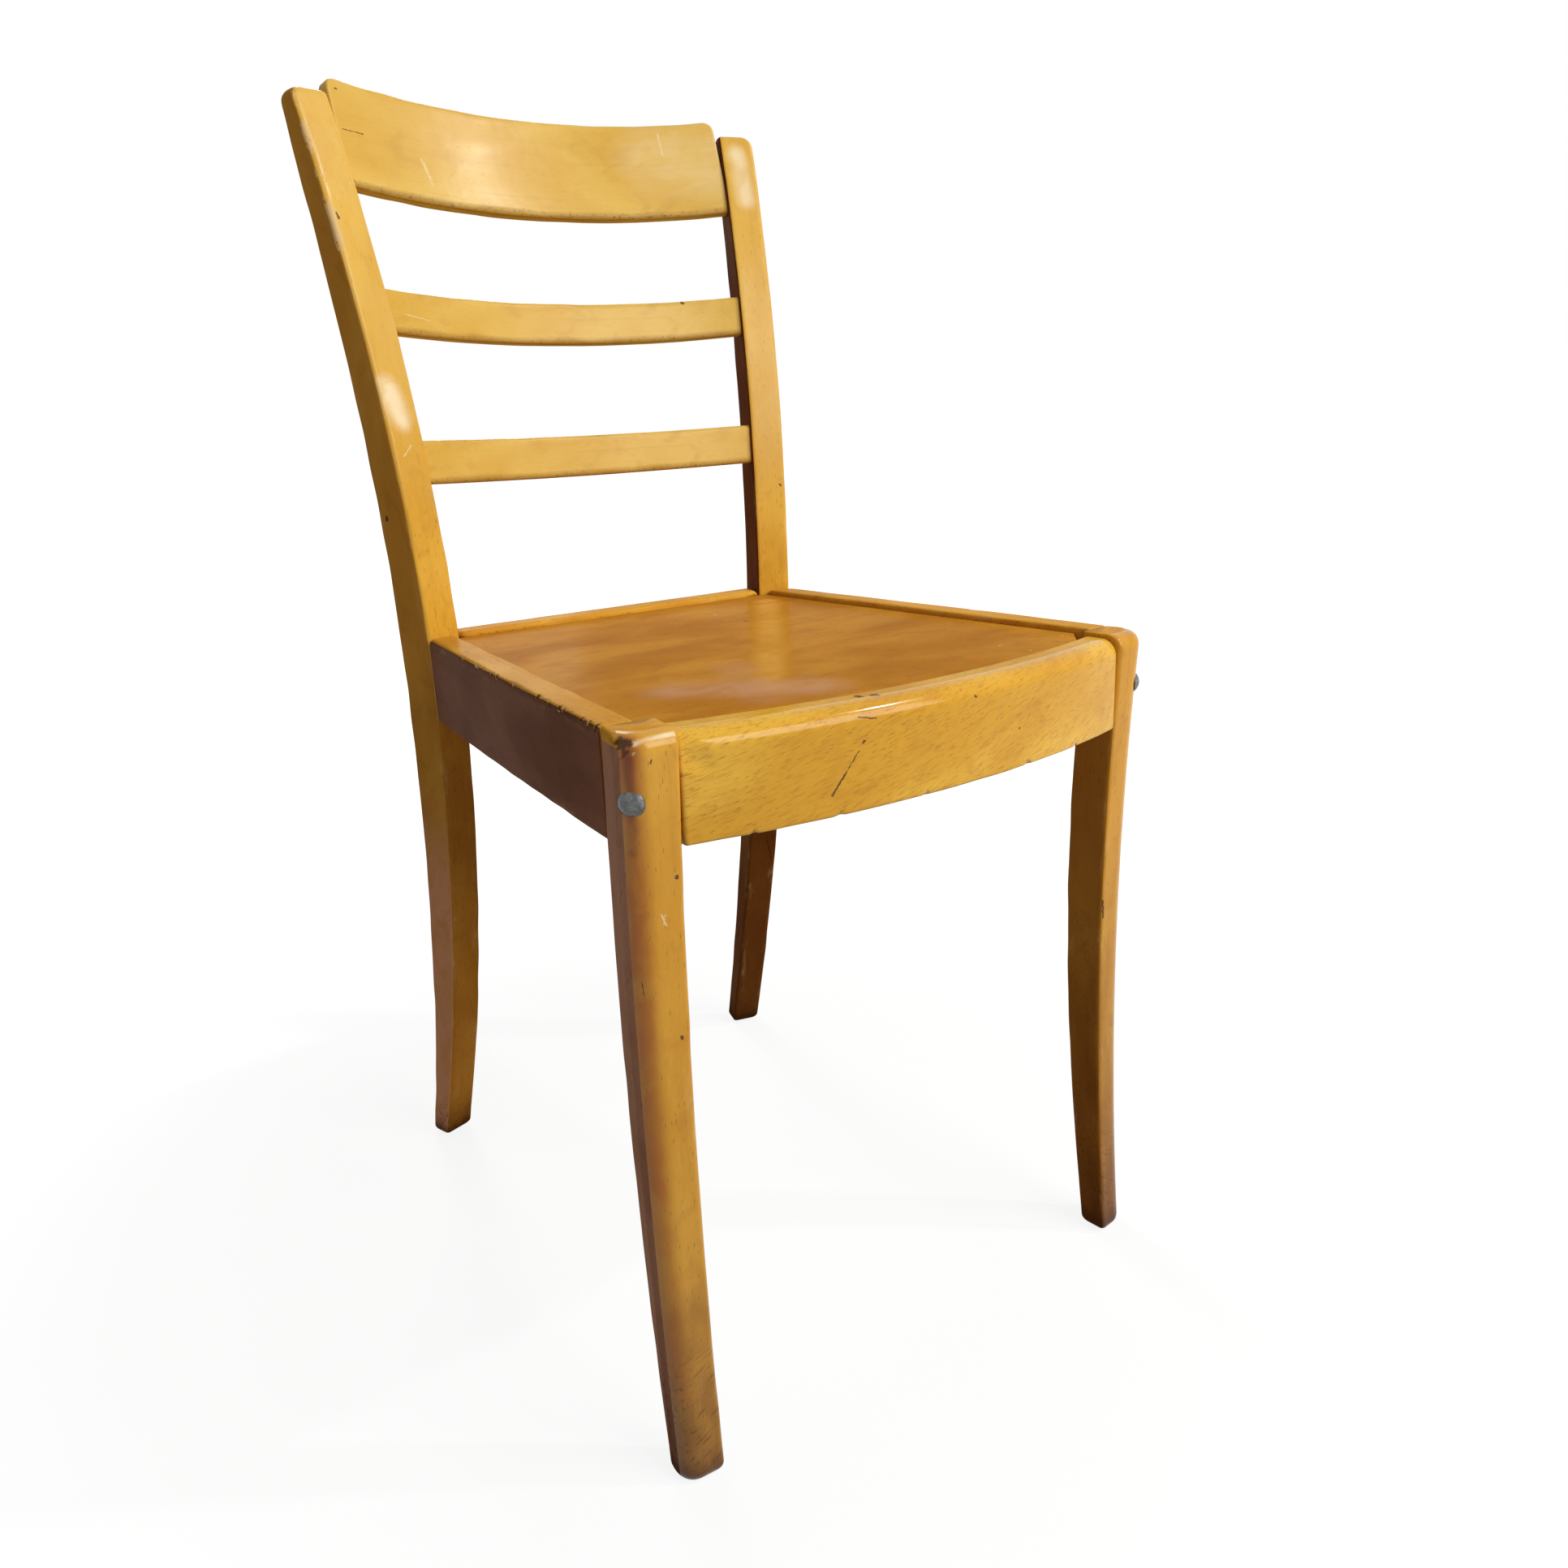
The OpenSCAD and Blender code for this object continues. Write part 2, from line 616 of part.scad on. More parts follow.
rear_post(-1);  // rear_post_left
rear_post(1);  // rear_post_right
front_leg(-1);  // front_leg_left
front_leg(1);  // front_leg_right
crest_rail();
back_slat(middle_z, slat_sag);  // middle_slat
back_slat(lower_z, lower_sag);  // lower_slat
front_rail();
side_rail(-1);  // side_rail_left
side_rail(1);  // side_rail_right
rear_rail();
seat_panel();
corner_block(-1);  // corner_block_left
corner_block(1);  // corner_block_right
leg_bolt(-1);  // leg_bolt_left
leg_bolt(1);  // leg_bolt_right
bolt_washers();
bolt_nuts();
rail_dowels();
block_screws();
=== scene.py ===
"""Worn beech side chair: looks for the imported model. Metres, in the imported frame."""
from functools import partial
import math

import bpy
from mathutils import Matrix, Vector
import numpy as np


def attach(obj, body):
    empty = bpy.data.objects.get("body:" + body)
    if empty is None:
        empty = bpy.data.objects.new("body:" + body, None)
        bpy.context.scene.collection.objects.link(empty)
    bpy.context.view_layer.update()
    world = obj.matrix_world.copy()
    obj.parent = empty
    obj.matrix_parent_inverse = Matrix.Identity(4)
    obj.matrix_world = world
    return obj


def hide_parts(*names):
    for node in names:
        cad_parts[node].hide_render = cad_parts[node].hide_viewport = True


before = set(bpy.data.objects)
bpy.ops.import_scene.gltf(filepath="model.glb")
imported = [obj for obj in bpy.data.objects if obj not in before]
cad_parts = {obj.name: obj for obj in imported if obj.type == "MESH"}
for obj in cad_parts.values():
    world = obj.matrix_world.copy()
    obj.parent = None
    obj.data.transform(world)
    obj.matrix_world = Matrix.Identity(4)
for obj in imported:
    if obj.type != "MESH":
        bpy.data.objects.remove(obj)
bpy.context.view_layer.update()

MM = 0.001
sin, cos, tan, sqrt = math.sin, math.cos, math.tan, math.sqrt
RAD = math.radians

# ---- sizes, in mm, as in the CAD
SEAT_H, BACK_H, SEAT_D = 456.0, 833.0, 357.0
POST_W, POST_FOOT_W, POST_T, POST_FOOT_T, POST_TOP_T = 28.0, 26.0, 35.0, 20.0, 17.0
POST_TURN, KICK, LEAN, SPLAY_LOW, SPLAY_TOP = RAD(16.5), 88.5, 68.0, 18.0, 5.0
POST_H = BACK_H - 12.0
D_TOP = POST_H - SEAT_H
LEG_W, LEG_FOOT_W, LEG_T, LEG_FOOT_T = 32.0, 28.5, 30.5, 20.0
LEG_TURN, SKEW, BEND_R, BEND_Z = RAD(5.0), RAD(4.0), 2690.0, 261.0
FOOT_R = 7.5  # the feet are rounded a little more by wear than when new
POST_X = 162.0 - POST_W * cos(POST_TURN)
LEG_X = 199.5
POST_Y = 135.3
LEG_Y = POST_Y - SEAT_D
RAIL_H, SIDE_T, SIDE_LAND, REAR_T = 61.0, 27.0, 19.5, 21.0
FRONT_H, FRONT_T, FRONT_LAND, FRONT_BOW, FRONT_SET = 60.0, 30.0, 23.5, 21.5, 3.0
PANEL_TOP, PANEL_T = SEAT_H - 4.0, 8.0
FRONT_TOP = PANEL_TOP + 1.5
CREST_H, CREST_T, SLAT_H, SLAT_T = 75.0, 10.0, 30.5, 10.0
SLAT_SET = 4.0
RAIL_GAP = 0.35  # between the drawn side and rear rails and the posts and legs


# a rear post at height z: its front face is post_v back and its inner face post_u out
def post_v(z):
    s0, s1 = (SEAT_H - z) / SEAT_H, (z - SEAT_H) / D_TOP
    return np.where(z < SEAT_H, KICK * (0.22 * s0 + 0.78 * s0**2), LEAN * (0.1 * s1 + 0.9 * s1**2))


def post_depth(z):
    s = np.clip((z - SEAT_H) / D_TOP, 0, 1)
    low = POST_FOOT_T + (POST_T - POST_FOOT_T) * np.sin(np.pi / 2 * z / SEAT_H)
    return np.where(z < SEAT_H, low, POST_T - (POST_T - POST_TOP_T) * (0.55 * s + 0.45 * s**5))


def post_u(z):
    s = np.clip((z - SEAT_H) / D_TOP, 0, 1)
    return np.where(z < SEAT_H, -SPLAY_LOW * (SEAT_H - z) / SEAT_H, SPLAY_TOP * np.sin(np.pi / 2 * s))


def post_width(z):
    return np.where(z < SEAT_H, POST_FOOT_W + (POST_W - POST_FOOT_W) * z / SEAT_H, POST_W)


# a front leg at height z, in the same way
def bend(z):
    return BEND_R - np.sqrt(BEND_R**2 - (z - BEND_Z) ** 2)


def leg_v(z):
    return bend(SEAT_H) - bend(z)


def leg_depth(z):
    return LEG_FOOT_T + (LEG_T - LEG_FOOT_T) * np.sin(np.pi / 2 * np.minimum(1, z / (SEAT_H * 0.75)))


def leg_width(z):
    return LEG_FOOT_W + (LEG_W - LEG_FOOT_W) * z / SEAT_H


def post_point(s, u, v, z):
    """The place on side s of a rear post's point (u, v), in the post's own turned axes, at height z."""
    x = POST_X + u * cos(POST_TURN) + v * sin(POST_TURN)
    return s * x, POST_Y - u * sin(POST_TURN) + v * cos(POST_TURN), z


def on_post(s, out, z, deep=0.0):
    """A place out from the post's inner arris, z up, and deep behind its front face."""
    return post_point(s, post_u(z) + out, post_v(z) + deep, z)


def leg_point(s, u, v, z):
    """The place on side s of a front leg's point (u, v), in the leg's own turned axes, at height z."""
    x = LEG_X + u * cos(LEG_TURN) - v * sin(LEG_TURN)
    return s * x, LEG_Y + u * sin(LEG_TURN) + v * cos(LEG_TURN), z


def on_leg(s, inward, z, deep=0.0):
    """A place inward from the leg's outer front corner, z up, and deep behind its front face."""
    return leg_point(s, -inward, leg_v(z) + deep, z)


# side rail's outer line and front rail's bow, seen from above
RAIL_A, RAIL_B = post_point(1, POST_W, 0, 0), leg_point(1, -LEG_T * tan(SKEW), LEG_T, 0)
RAIL_ANG = math.atan((RAIL_B[0] - RAIL_A[0]) / (RAIL_A[1] - RAIL_B[1]))
END_X, LEG_IN_Y, _ = leg_point(1, -LEG_W, 0, 0)
BOW_R = (END_X**2 + FRONT_BOW**2) / (2 * FRONT_BOW)
BOW_CY = LEG_IN_Y + FRONT_SET - FRONT_BOW + BOW_R


# ---- smooth noise, the same each run
def table_noise(x, seed):
    """Smooth 1-D noise from 0 to 1 with one knot a unit."""
    size = 4096
    t = np.random.RandomState(seed).rand(size)
    x = np.asarray(x, float) + 1000.0  # keeps every x above 0
    i = np.floor(x).astype(int)
    f = x - i
    f = f * f * (3 - 2 * f)
    return t[i % size] * (1 - f) + t[(i + 1) % size] * f


def noise2(a, b, seed):
    """Smooth 2-D noise from 0 to 1."""
    size = 128
    t = np.random.RandomState(seed).rand(size, size)
    a, b = np.asarray(a, float) + 5.0 * size, np.asarray(b, float) + 5.0 * size
    i, j = np.floor(a).astype(int), np.floor(b).astype(int)
    f, g = a - i, b - j
    f, g = f * f * (3 - 2 * f), g * g * (3 - 2 * g)
    i0, i1, j0, j1 = i % size, (i + 1) % size, j % size, (j + 1) % size
    return (t[i0, j0] * (1 - f) + t[i1, j0] * f) * (1 - g) + (t[i0, j1] * (1 - f) + t[i1, j1] * f) * g


def ramp(x, a, b):
    """0 at a, rising smoothly to 1 at b."""
    t = np.clip((np.asarray(x, float) - a) / (b - a), 0, 1)
    return t * t * (3 - 2 * t)


def bump1(x, c, w):
    """1 at c, falling smoothly to 0 at c - w and c + w."""
    return ramp(np.abs(np.asarray(x, float) - c), w, 0)


# ---- lofted bodies
def across(*values):
    """Arrays or numbers side by side along one more axis."""
    return np.stack(np.broadcast_arrays(*values), -1)


def section(*points):
    """The corners (m, k, 2) of a section, from k pairs of numbers or of one value a station."""
    return across(*(c for p in points for c in p)).reshape(-1, len(points), 2)


def box(u0, u1, v0, v1):
    return section((u0, v0), (u1, v0), (u1, v1), (u0, v1))


def sided(name, s):
    """The name of one of a pair of nodes."""
    return name + ("_left" if s < 0 else "_right")


# the fourth mask, dark, is mostly painted shade
def masks(edge, grime, wear, dark):
    """The four masks of every point, from arrays that spread over the stations and points."""
    return np.clip(across(edge, grime, wear, dark), 0, 1)


def end_inset(d, r):
    """How far a rounding of radius r at an end pulls a side in, at distance d from the end."""
    d = np.clip(d, 0, r)
    return r - np.sqrt(np.maximum(r * r - (r - d) ** 2, 0))


def stations(lo, hi, step, r_lo, r_hi):
    """Stations from lo to hi, closer together over a rounding at either end."""
    swing = np.linspace(0, np.pi / 2, 9)
    a, b = lo + r_lo, hi - r_hi
    flat = np.linspace(a, b, max(2, int(round((b - a) / step)) + 1))
    out = [lo + r_lo * (1 - np.cos(swing)), flat, hi - r_hi * (1 - np.cos(swing))]
    return np.unique(np.round(np.concatenate(out), 5))


class Ring:
    """A section with rounded corners at each of m stations, its n points anticlockwise in pts
    (m, n, 2). side is the side a point belongs to, and corner the corner that it rounds, or -1.
    edge is 1 on a corner and fades away from it, and around is the way along the section. flats
    are the points on each side, arc the steps of a corner, and share the most of a side that a
    corner's rounding may take."""

    def __init__(self, corners, radii, flats, arc=6, share=0.49):
        m, k, _ = corners.shape
        back, ahead = np.roll(corners, 1, 1) - corners, np.roll(corners, -1, 1) - corners
        len_back, len_ahead = np.linalg.norm(back, axis=2), np.linalg.norm(ahead, axis=2)
        back, ahead = back / len_back[..., None], ahead / len_ahead[..., None]
        angle = np.arccos(np.clip((back * ahead).sum(2), -1, 1))
        # a rounding starts cut away from its corner on either side, and is about centre
        cut = np.minimum(radii / np.tan(angle / 2), np.asarray(share) * np.minimum(len_back, len_ahead))
        reach = cut * np.tan(angle / 2) / np.sin(angle / 2)
        inward = (back + ahead) / np.linalg.norm(back + ahead, axis=2)[..., None]
        centre = corners + inward * reach[..., None]
        first, last = (corners + way * cut[..., None] - centre for way in (back, ahead))
        sweep = np.pi - angle
        pts, self.corner, self.side, edge = [], [], [], []
        for i in range(k):
            for s in np.linspace(0, 1, arc + 1):
                w0, w1 = (np.sin(w * sweep[:, i]) / np.sin(sweep[:, i]) for w in (1 - s, s))
                pts.append(centre[:, i] + first[:, i] * w0[:, None] + last[:, i] * w1[:, None])
                self.corner.append(i)
                self.side.append(i if s > 0.5 else (i - 1) % k)
                edge.append(np.ones(m))
            j = (i + 1) % k
            start, end = centre[:, i] + last[:, i], centre[:, j] + first[:, j]
            length = np.linalg.norm(end - start, axis=1)
            for s in np.linspace(0, 1, flats[i] + 2)[1:-1]:
                pts.append(start + (end - start) * s)
                self.corner.append(-1)
                self.side.append(i)
                edge.append(np.exp(-np.minimum(s, 1 - s) * length / 2.5))
        self.pts, self.edge = np.stack(pts, 1), np.stack(edge, 1)
        self.corner, self.side = np.array(self.corner), np.array(self.side)
        self.around = np.cumsum(np.linalg.norm(self.pts - np.roll(self.pts, 1, 1), axis=2), 1)

    def on(self, *sides):
        """1 for the points that belong to one of these sides, 0 for the rest."""
        return np.isin(self.side, sides)[None] * 1.0

    def at(self, corner):
        """1 for the points that round this corner, 0 for the rest."""
        return (self.corner == corner)[None] * 1.0


def new_object(name, data):
    ob = bpy.data.objects.new(name, data)
    bpy.context.scene.collection.objects.link(ob)
    return ob


def make(node, verts, faces, grain, mask, mats, face_mats=None):
    """The smooth-shaded piece that replaces a node. verts and grain (n, 3) are in mm; mask (n, 4)
    holds edge, grime, wear and dark."""
    me = bpy.data.meshes.new("worn_" + node)
    me.from_pydata((verts * MM).tolist(), [], faces)
    me.polygons.foreach_set("use_smooth", np.ones(len(me.polygons), bool))
    if face_mats is not None:
        me.polygons.foreach_set("material_index", face_mats.astype(np.int32))
    at = me.attributes.new("gr", "FLOAT_VECTOR", "POINT")
    at.data.foreach_set("vector", (grain * MM).astype(np.float32).ravel())
    at = me.attributes.new("mask", "FLOAT_COLOR", "POINT")
    at.data.foreach_set("color", mask.astype(np.float32).ravel())
    for m in mats:
        me.materials.append(m)
    me.validate()
    ob = new_object("worn_" + node, me)
    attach(ob, "root")
    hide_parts(node)


def loft_faces(m, n, flip=False):
    """Quads between m rings of n points, and each end closed by a fan round one more point."""
    i, j = np.meshgrid(np.arange(m - 1), np.arange(n), indexing="ij")
    k = (j + 1) % n
    quads = np.stack([i * n + j, i * n + k, (i + 1) * n + k, (i + 1) * n + j], -1).reshape(-1, 4)
    start, end = m * n, m * n + 1
    faces = quads.tolist()
    faces += [[start, (t + 1) % n, t] for t in range(n)]
    faces += [[end, (m - 1) * n + t, (m - 1) * n + (t + 1) % n] for t in range(n)]
    return [f[::-1] for f in faces] if flip else faces


def loft(node, ring, xyz, grain, mask, mats, flip=False, side_mat=(0,) * 6, keep=(), top=0, rows=()):
    """A piece from a ring whose points are at xyz. side_mat has a material's number for each side.
    Corners in keep stay in the first material, top is the last end's, and rows lists
    (first, last, sides, material)."""
    m, n, _ = xyz.shape
    per_side = np.array([0 if c in keep else side_mat[s] for s, c in zip(ring.side, ring.corner)])
    per_side = np.where(per_side == np.roll(per_side, -1), per_side, 0)
    grid = np.tile(per_side, (m - 1, 1))
    for first, last, sides, index in rows:
        grid[first:last, np.isin(ring.side, sides)] = index
    face_mats = np.concatenate([grid.ravel(), np.zeros(n), np.full(n, top)])
    ends = lambda a: np.concatenate([a.reshape(m * n, -1), a[0].mean(0)[None], a[-1].mean(0)[None]])
    make(node, ends(xyz), loft_faces(m, n, flip), ends(grain), ends(mask), mats, face_mats)


# ---- materials
def srgb(r, g, b):
    f = lambda c: c / 12.92 if c <= 0.04045 else ((c + 0.055) / 1.055) ** 2.4
    return (f(r / 255), f(g / 255), f(b / 255), 1.0)


class Tree:
    """Short hand for the node tree of a material or a world."""

    def __init__(self, owner):
        self.owner = owner
        owner.use_nodes = True
        self.tree = owner.node_tree
        self.tree.nodes.clear()

    def node(self, kind, **props):
        n = self.tree.nodes.new("ShaderNode" + kind)
        for k, v in props.items():
            setattr(n, k, v)
        return n

    def put(self, socket, v):
        if isinstance(v, bpy.types.NodeSocket):
            self.tree.links.new(v, socket)
        else:
            socket.default_value = v

    def made(self, n, out, **values):
        """The output of a node whose inputs get these values, with _ for a space in a name."""
        for k, v in values.items():
            self.put(n.inputs[k.replace("_", " ")], v)
        return n.outputs[out]

    def math(self, op, a, b, clamp=False):
        n = self.node("Math", operation=op, use_clamp=clamp)
        self.put(n.inputs[0], a)
        self.put(n.inputs[1], b)
        return n.outputs[0]

    def add(self, a, b, clamp=False):
        return self.math("ADD", a, b, clamp)

    def sub(self, a, b):
        return self.math("SUBTRACT", a, b)

    def mul(self, a, b, clamp=False):
        return self.math("MULTIPLY", a, b, clamp)

    def most(self, a, b):
        return self.math("MAXIMUM", a, b)

    def vmath(self, op, a, b=None, scale=None):
        n = self.node("VectorMath", operation=op)
        self.put(n.inputs[0], a)
        if b is not None:
            self.put(n.inputs[1], b)
        if scale is not None:
            self.put(n.inputs["Scale"], scale)
        return n.outputs["Value" if op in ("DOT_PRODUCT", "LENGTH", "DISTANCE") else "Vector"]

    def stretch(self, vec, x, y, z):
        return self.vmath("MULTIPLY", vec, (x, y, z))

    def turn(self, vec, axis, angle):
        return self.made(self.node("VectorRotate", rotation_type=axis), "Vector", Vector=vec, Angle=angle)

    def noise(self, vec, scale, detail=3.0, rough=0.5, distort=0.0, out="Fac"):
        return self.made(self.node("TexNoise"), out, Vector=vec, Scale=scale, Detail=detail,
                         Roughness=rough, Distortion=distort)

    def remap(self, v, a, b, c=0.0, d=1.0, kind="SMOOTHSTEP"):
        n = self.node("MapRange", interpolation_type=kind)
        return self.made(n, "Result", Value=v, From_Min=a, From_Max=b, To_Min=c, To_Max=d)

    def mix(self, fac, a, b, blend="MIX"):
        n = self.node("Mix", data_type="RGBA", blend_type=blend)
        self.put(n.inputs["Factor"], fac)
        self.put(n.inputs[6], a)
        self.put(n.inputs[7], b)
        return n.outputs[2]

    def split(self, colour):
        n = self.node("SeparateColor")
        self.put(n.inputs[0], colour)
        return n.outputs[:3]

    def mark(self, p, a, b, half, core=0.35):
        """1 on the straight mark from a to b, falling to 0 from core to all of its half width."""
        way = np.subtract(b, a)
        squared = float(way @ way)
        from_a = self.vmath("SUBTRACT", p, tuple(a))
        along = self.mul(self.vmath("DOT_PRODUCT", from_a, tuple(way)), 1 / squared, clamp=True)
        dist = self.vmath("DISTANCE", from_a, self.vmath("SCALE", tuple(way), scale=along))
        return self.remap(dist, half, half * core)

    def shade(self, colour, rough, bump, bump_dist, **fixed):
        """The finished material. bump is in units of bump_dist metres."""
        n = self.node("Bump")
        normal = self.made(n, "Normal", Distance=bump_dist, Strength=1.0, Height=bump)
        surface = self.made(self.node("BsdfPrincipled"), "BSDF", Base_Color=colour, Roughness=rough,
                            Normal=normal, **fixed)
        self.put(self.node("OutputMaterial").inputs[0], surface)
        return self.owner


RAW = srgb(232, 196, 138)  # bare beech
DIRT = srgb(56, 30, 14)
PORE = srgb(132, 76, 20)
SCUFF = srgb(96, 50, 22)
SCRATCH, GOUGE = srgb(244, 222, 176), srgb(84, 42, 14)
SHADE = (0.30, 0.18, 0.12, 1.0)  # painted shade: what the wood's colour is multiplied by where the dark mask is full


def worn_marks(t, pos, flat, thin, marks, c, rough, height):
    """The sharp marks: pale scratches roughen the lacquer, dark marks and gouges dent it."""
    jitter = t.vmath("SUBTRACT", t.noise(pos, 420.0, 2.0, out="Color"), (0.5, 0.5, 0.5))
    p = t.vmath("ADD", flat, t.vmath("SCALE", jitter, scale=1.6))
    broken = t.remap(t.noise(pos, 600.0, 2.0, 0.6), 0.36, 0.5, 0.25, 1.0)
    for kind in ("pale", "dark", "gouge"):
        found = [t.mark(p, np.multiply(a, thin), np.multiply(b, thin), half)
                 for k, a, b, half in marks if k == kind]
        if not found:
            continue
        every = found[0]
        for f in found[1:]:
            every = t.most(every, f)
        if kind == "pale":
            every = t.mul(every, broken)
            c = t.mix(t.mul(every, 0.7), c, SCRATCH)
            rough = t.add(rough, t.mul(every, 0.3), clamp=True)
        else:
            c = t.mix(t.mul(every, 0.88), c, GOUGE)
            height = t.sub(height, t.mul(every, 2.2 if kind == "gouge" else 0.5))
    return c, rough, height


def wood(name, palette, seed, gloss=0.2, ior=1.28, fleck=0.3, grainy=0.1, slant=0.0, streaky=0.16,
         ripple=0.35, marks=(), soft=(), face=1):
    """Lacquered beech in a palette of three tones. gloss is the lacquer's roughness, and fleck the
    share of the cells that hold a ray fleck. grainy, streaky and ripple are the strengths of the
    grain, the streaks and the lacquer's waves, and slant turns the grain in the face's plane.
    marks are sharp (kind, from, to, half width), and soft are cloudy (colour, amount, from, to,
    half width), in mm. The way along axis face, which the face looks along, counts less for marks."""
    light, mid, deep = palette
    t = Tree(bpy.data.materials.new("lacquer_" + name))
    gr = t.node("Attribute", attribute_name="gr").outputs["Vector"]
    mask = t.node("Attribute", attribute_name="mask").outputs
    edge, grime, wear = t.split(mask["Color"])
    gr = t.vmath("ADD", gr, (seed, seed * 0.7, seed * 1.3))
    if slant:
        gr = t.turn(gr, "X_AXIS", slant)
    # the grain runs along z of gr, and a factor below 1 draws the noise out along it
    along = lambda factor, *rest: t.noise(t.stretch(gr, 1, 1, factor), *rest)
    cloud = along(0.5, 17.0, 2.0, 0.5, 0.5)
    blotch = along(0.6, 60.0, 3.0, 0.5, 0.8)
    streak = along(0.03, 240.0, 3.0, 0.55)
    fine = along(0.12, 1500.0, 2.0)
    coarse = along(0.13, 900.0, 3.0, 0.6)
    cells = t.node("TexVoronoi")
    from_cell = t.made(cells, "Distance", Vector=t.stretch(gr, 1, 1, 0.16), Scale=820.0)
    there = t.math("GREATER_THAN", t.split(cells.outputs["Color"])[0], 1.0 - fleck)
    pore = t.mul(t.remap(from_cell, 0.3, 0.12), there)
    # the three tones
    c = t.mix(t.remap(cloud, 0.34, 0.66), light, mid)
    for noise, a, b, amount in ((blotch, 0.48, 0.75, 0.3), (streak, 0.5, 0.75, streaky),
                                (fine, 0.45, 0.8, 0.16), (coarse, 0.5, 0.66, grainy)):
        c = t.mix(t.remap(noise, a, b, 0, amount), c, deep)
    c = t.mix(t.mul(pore, 0.55), c, PORE)
    # painted shade, mostly: the colour is darker where dark says, on the sides that face away from the
    # light and below the seat; near the feet dark also holds dirt
    shade = t.mul(mask["Alpha"], t.remap(cloud, 0.2, 0.8, 0.86, 1.0))
    c = t.mix(shade, c, SHADE, "MULTIPLY")
    # lacquer worn to bare wood along the arrises and in the worn places
    spot = t.noise(gr, 260.0, 4.0, 0.65)
    bare_edge = t.mul(edge, t.remap(along(0.25, 150.0, 3.0, 0.6), 0.55, 0.72, 0, 0.3))
    bare_spot = t.remap(t.add(wear, t.mul(t.sub(spot, 0.5), 0.9)), 0.45, 0.54, 0, 0.9)
    bare = t.most(bare_edge, bare_spot)
    # soft dirt
    smear = along(0.3, 60.0, 4.0, 0.65, 0.3)
    stain = t.remap(t.add(grime, t.mul(t.sub(smear, 0.5), 0.7)), 0.15, 1.0)
    stain = t.mul(stain, t.remap(grime, 0.0, 0.1))
    # cloudy patches, in mm from here on: painted highlights, reflections, light and shade, and stains and
    # dirt
    pos = t.node("TexCoord").outputs["Object"]
    near = t.stretch(pos, 1 / MM, 1 / MM, 1 / MM)
    for colour, amount, a, b, half in soft:
        patch = t.mark(near, a, b, half, 0.15)
        patch = t.mul(patch, t.remap(blotch, 0.3, 0.62, amount * 0.5, amount))
        c = t.mix(patch, c, colour)
    c = t.mix(bare, c, RAW)
    c = t.mix(t.mul(stain, 0.85), c, DIRT)
    # scuffs that slant across the feet, and specks everywhere
    scuff = t.noise(t.stretch(t.turn(gr, "Y_AXIS", RAD(62)), 1, 1, 0.14), 420.0, 3.0, 0.62)
    scuff = t.mul(t.remap(scuff, 0.54, 0.66), t.remap(grime, 0.03, 0.4, 0.0, 0.6))
    c = t.mix(scuff, c, SCUFF)
    c = t.mix(t.remap(t.noise(gr, 700.0, 2.0), 0.71, 0.78, 0, 0.35), c, DIRT)
    # relief and gloss
    height = t.add(t.mul(fine, 0.05), t.mul(streak, 0.10))
    height = t.sub(height, t.mul(pore, 0.12))
    height = t.add(height, t.mul(t.noise(gr, 95.0, 2.0, 0.4), ripple))
    height = t.sub(height, t.mul(bare, 0.2))
    rough = t.add(gloss, t.mul(bare, 0.4))
    rough = t.add(rough, t.mul(stain, 0.25))
    rough = t.add(rough, t.remap(cloud, 0.3, 0.75, 0, 0.08), clamp=True)
    if marks:
        thin = [0.25 if axis == face else 1.0 for axis in range(3)]
        c, rough, height = worn_marks(t, pos, t.stretch(near, *thin), thin, marks, c, rough, height)
    return t.shade(c, rough, height, 0.35 * MM, IOR=ior)


def bare_wood():
    t = Tree(bpy.data.materials.new("bare_beech"))
    pos = t.node("TexCoord").outputs["Object"]
    grain = t.noise(t.stretch(pos, 1, 0.1, 1), 300.0, 4.0, 0.6)
    c = t.mix(t.remap(grain, 0.35, 0.7), srgb(206, 172, 122), srgb(160, 118, 72))
    c = t.mix(t.remap(t.noise(pos, 60.0, 3.0, 0.6), 0.5, 0.75, 0, 0.5), c, srgb(96, 66, 40))
    return t.shade(c, t.remap(grain, 0.3, 0.7, 0.6, 0.8), grain, 0.3 * MM, Specular_IOR_Level=0.3)


def old_steel():
    """Dull grey steel with dark pits and a little rust."""
    t = Tree(bpy.data.materials.new("old_steel"))
    pos = t.node("TexCoord").outputs["Object"]
    cloud = t.noise(pos, 300.0, 4.0, 0.6)
    from_pit = t.made(t.node("TexVoronoi"), "Distance", Vector=pos, Scale=900.0)
    pit = t.remap(t.add(from_pit, t.mul(cloud, 0.35)), 0.42, 0.3)
    c = t.mix(t.remap(cloud, 0.35, 0.68), srgb(86, 89, 90), srgb(128, 130, 127))
    c = t.mix(t.mul(pit, 0.8), c, srgb(40, 40, 40))
    rust = t.remap(t.noise(pos, 500.0, 2.0, 0.5), 0.62, 0.72)
    c = t.mix(t.mul(rust, 0.35), c, srgb(96, 66, 42))
    height = t.sub(t.mul(cloud, 0.5), pit)
    return t.shade(c, t.remap(cloud, 0.3, 0.7, 0.3, 0.5), height, 0.25 * MM, Metallic=0.15, IOR=1.5)


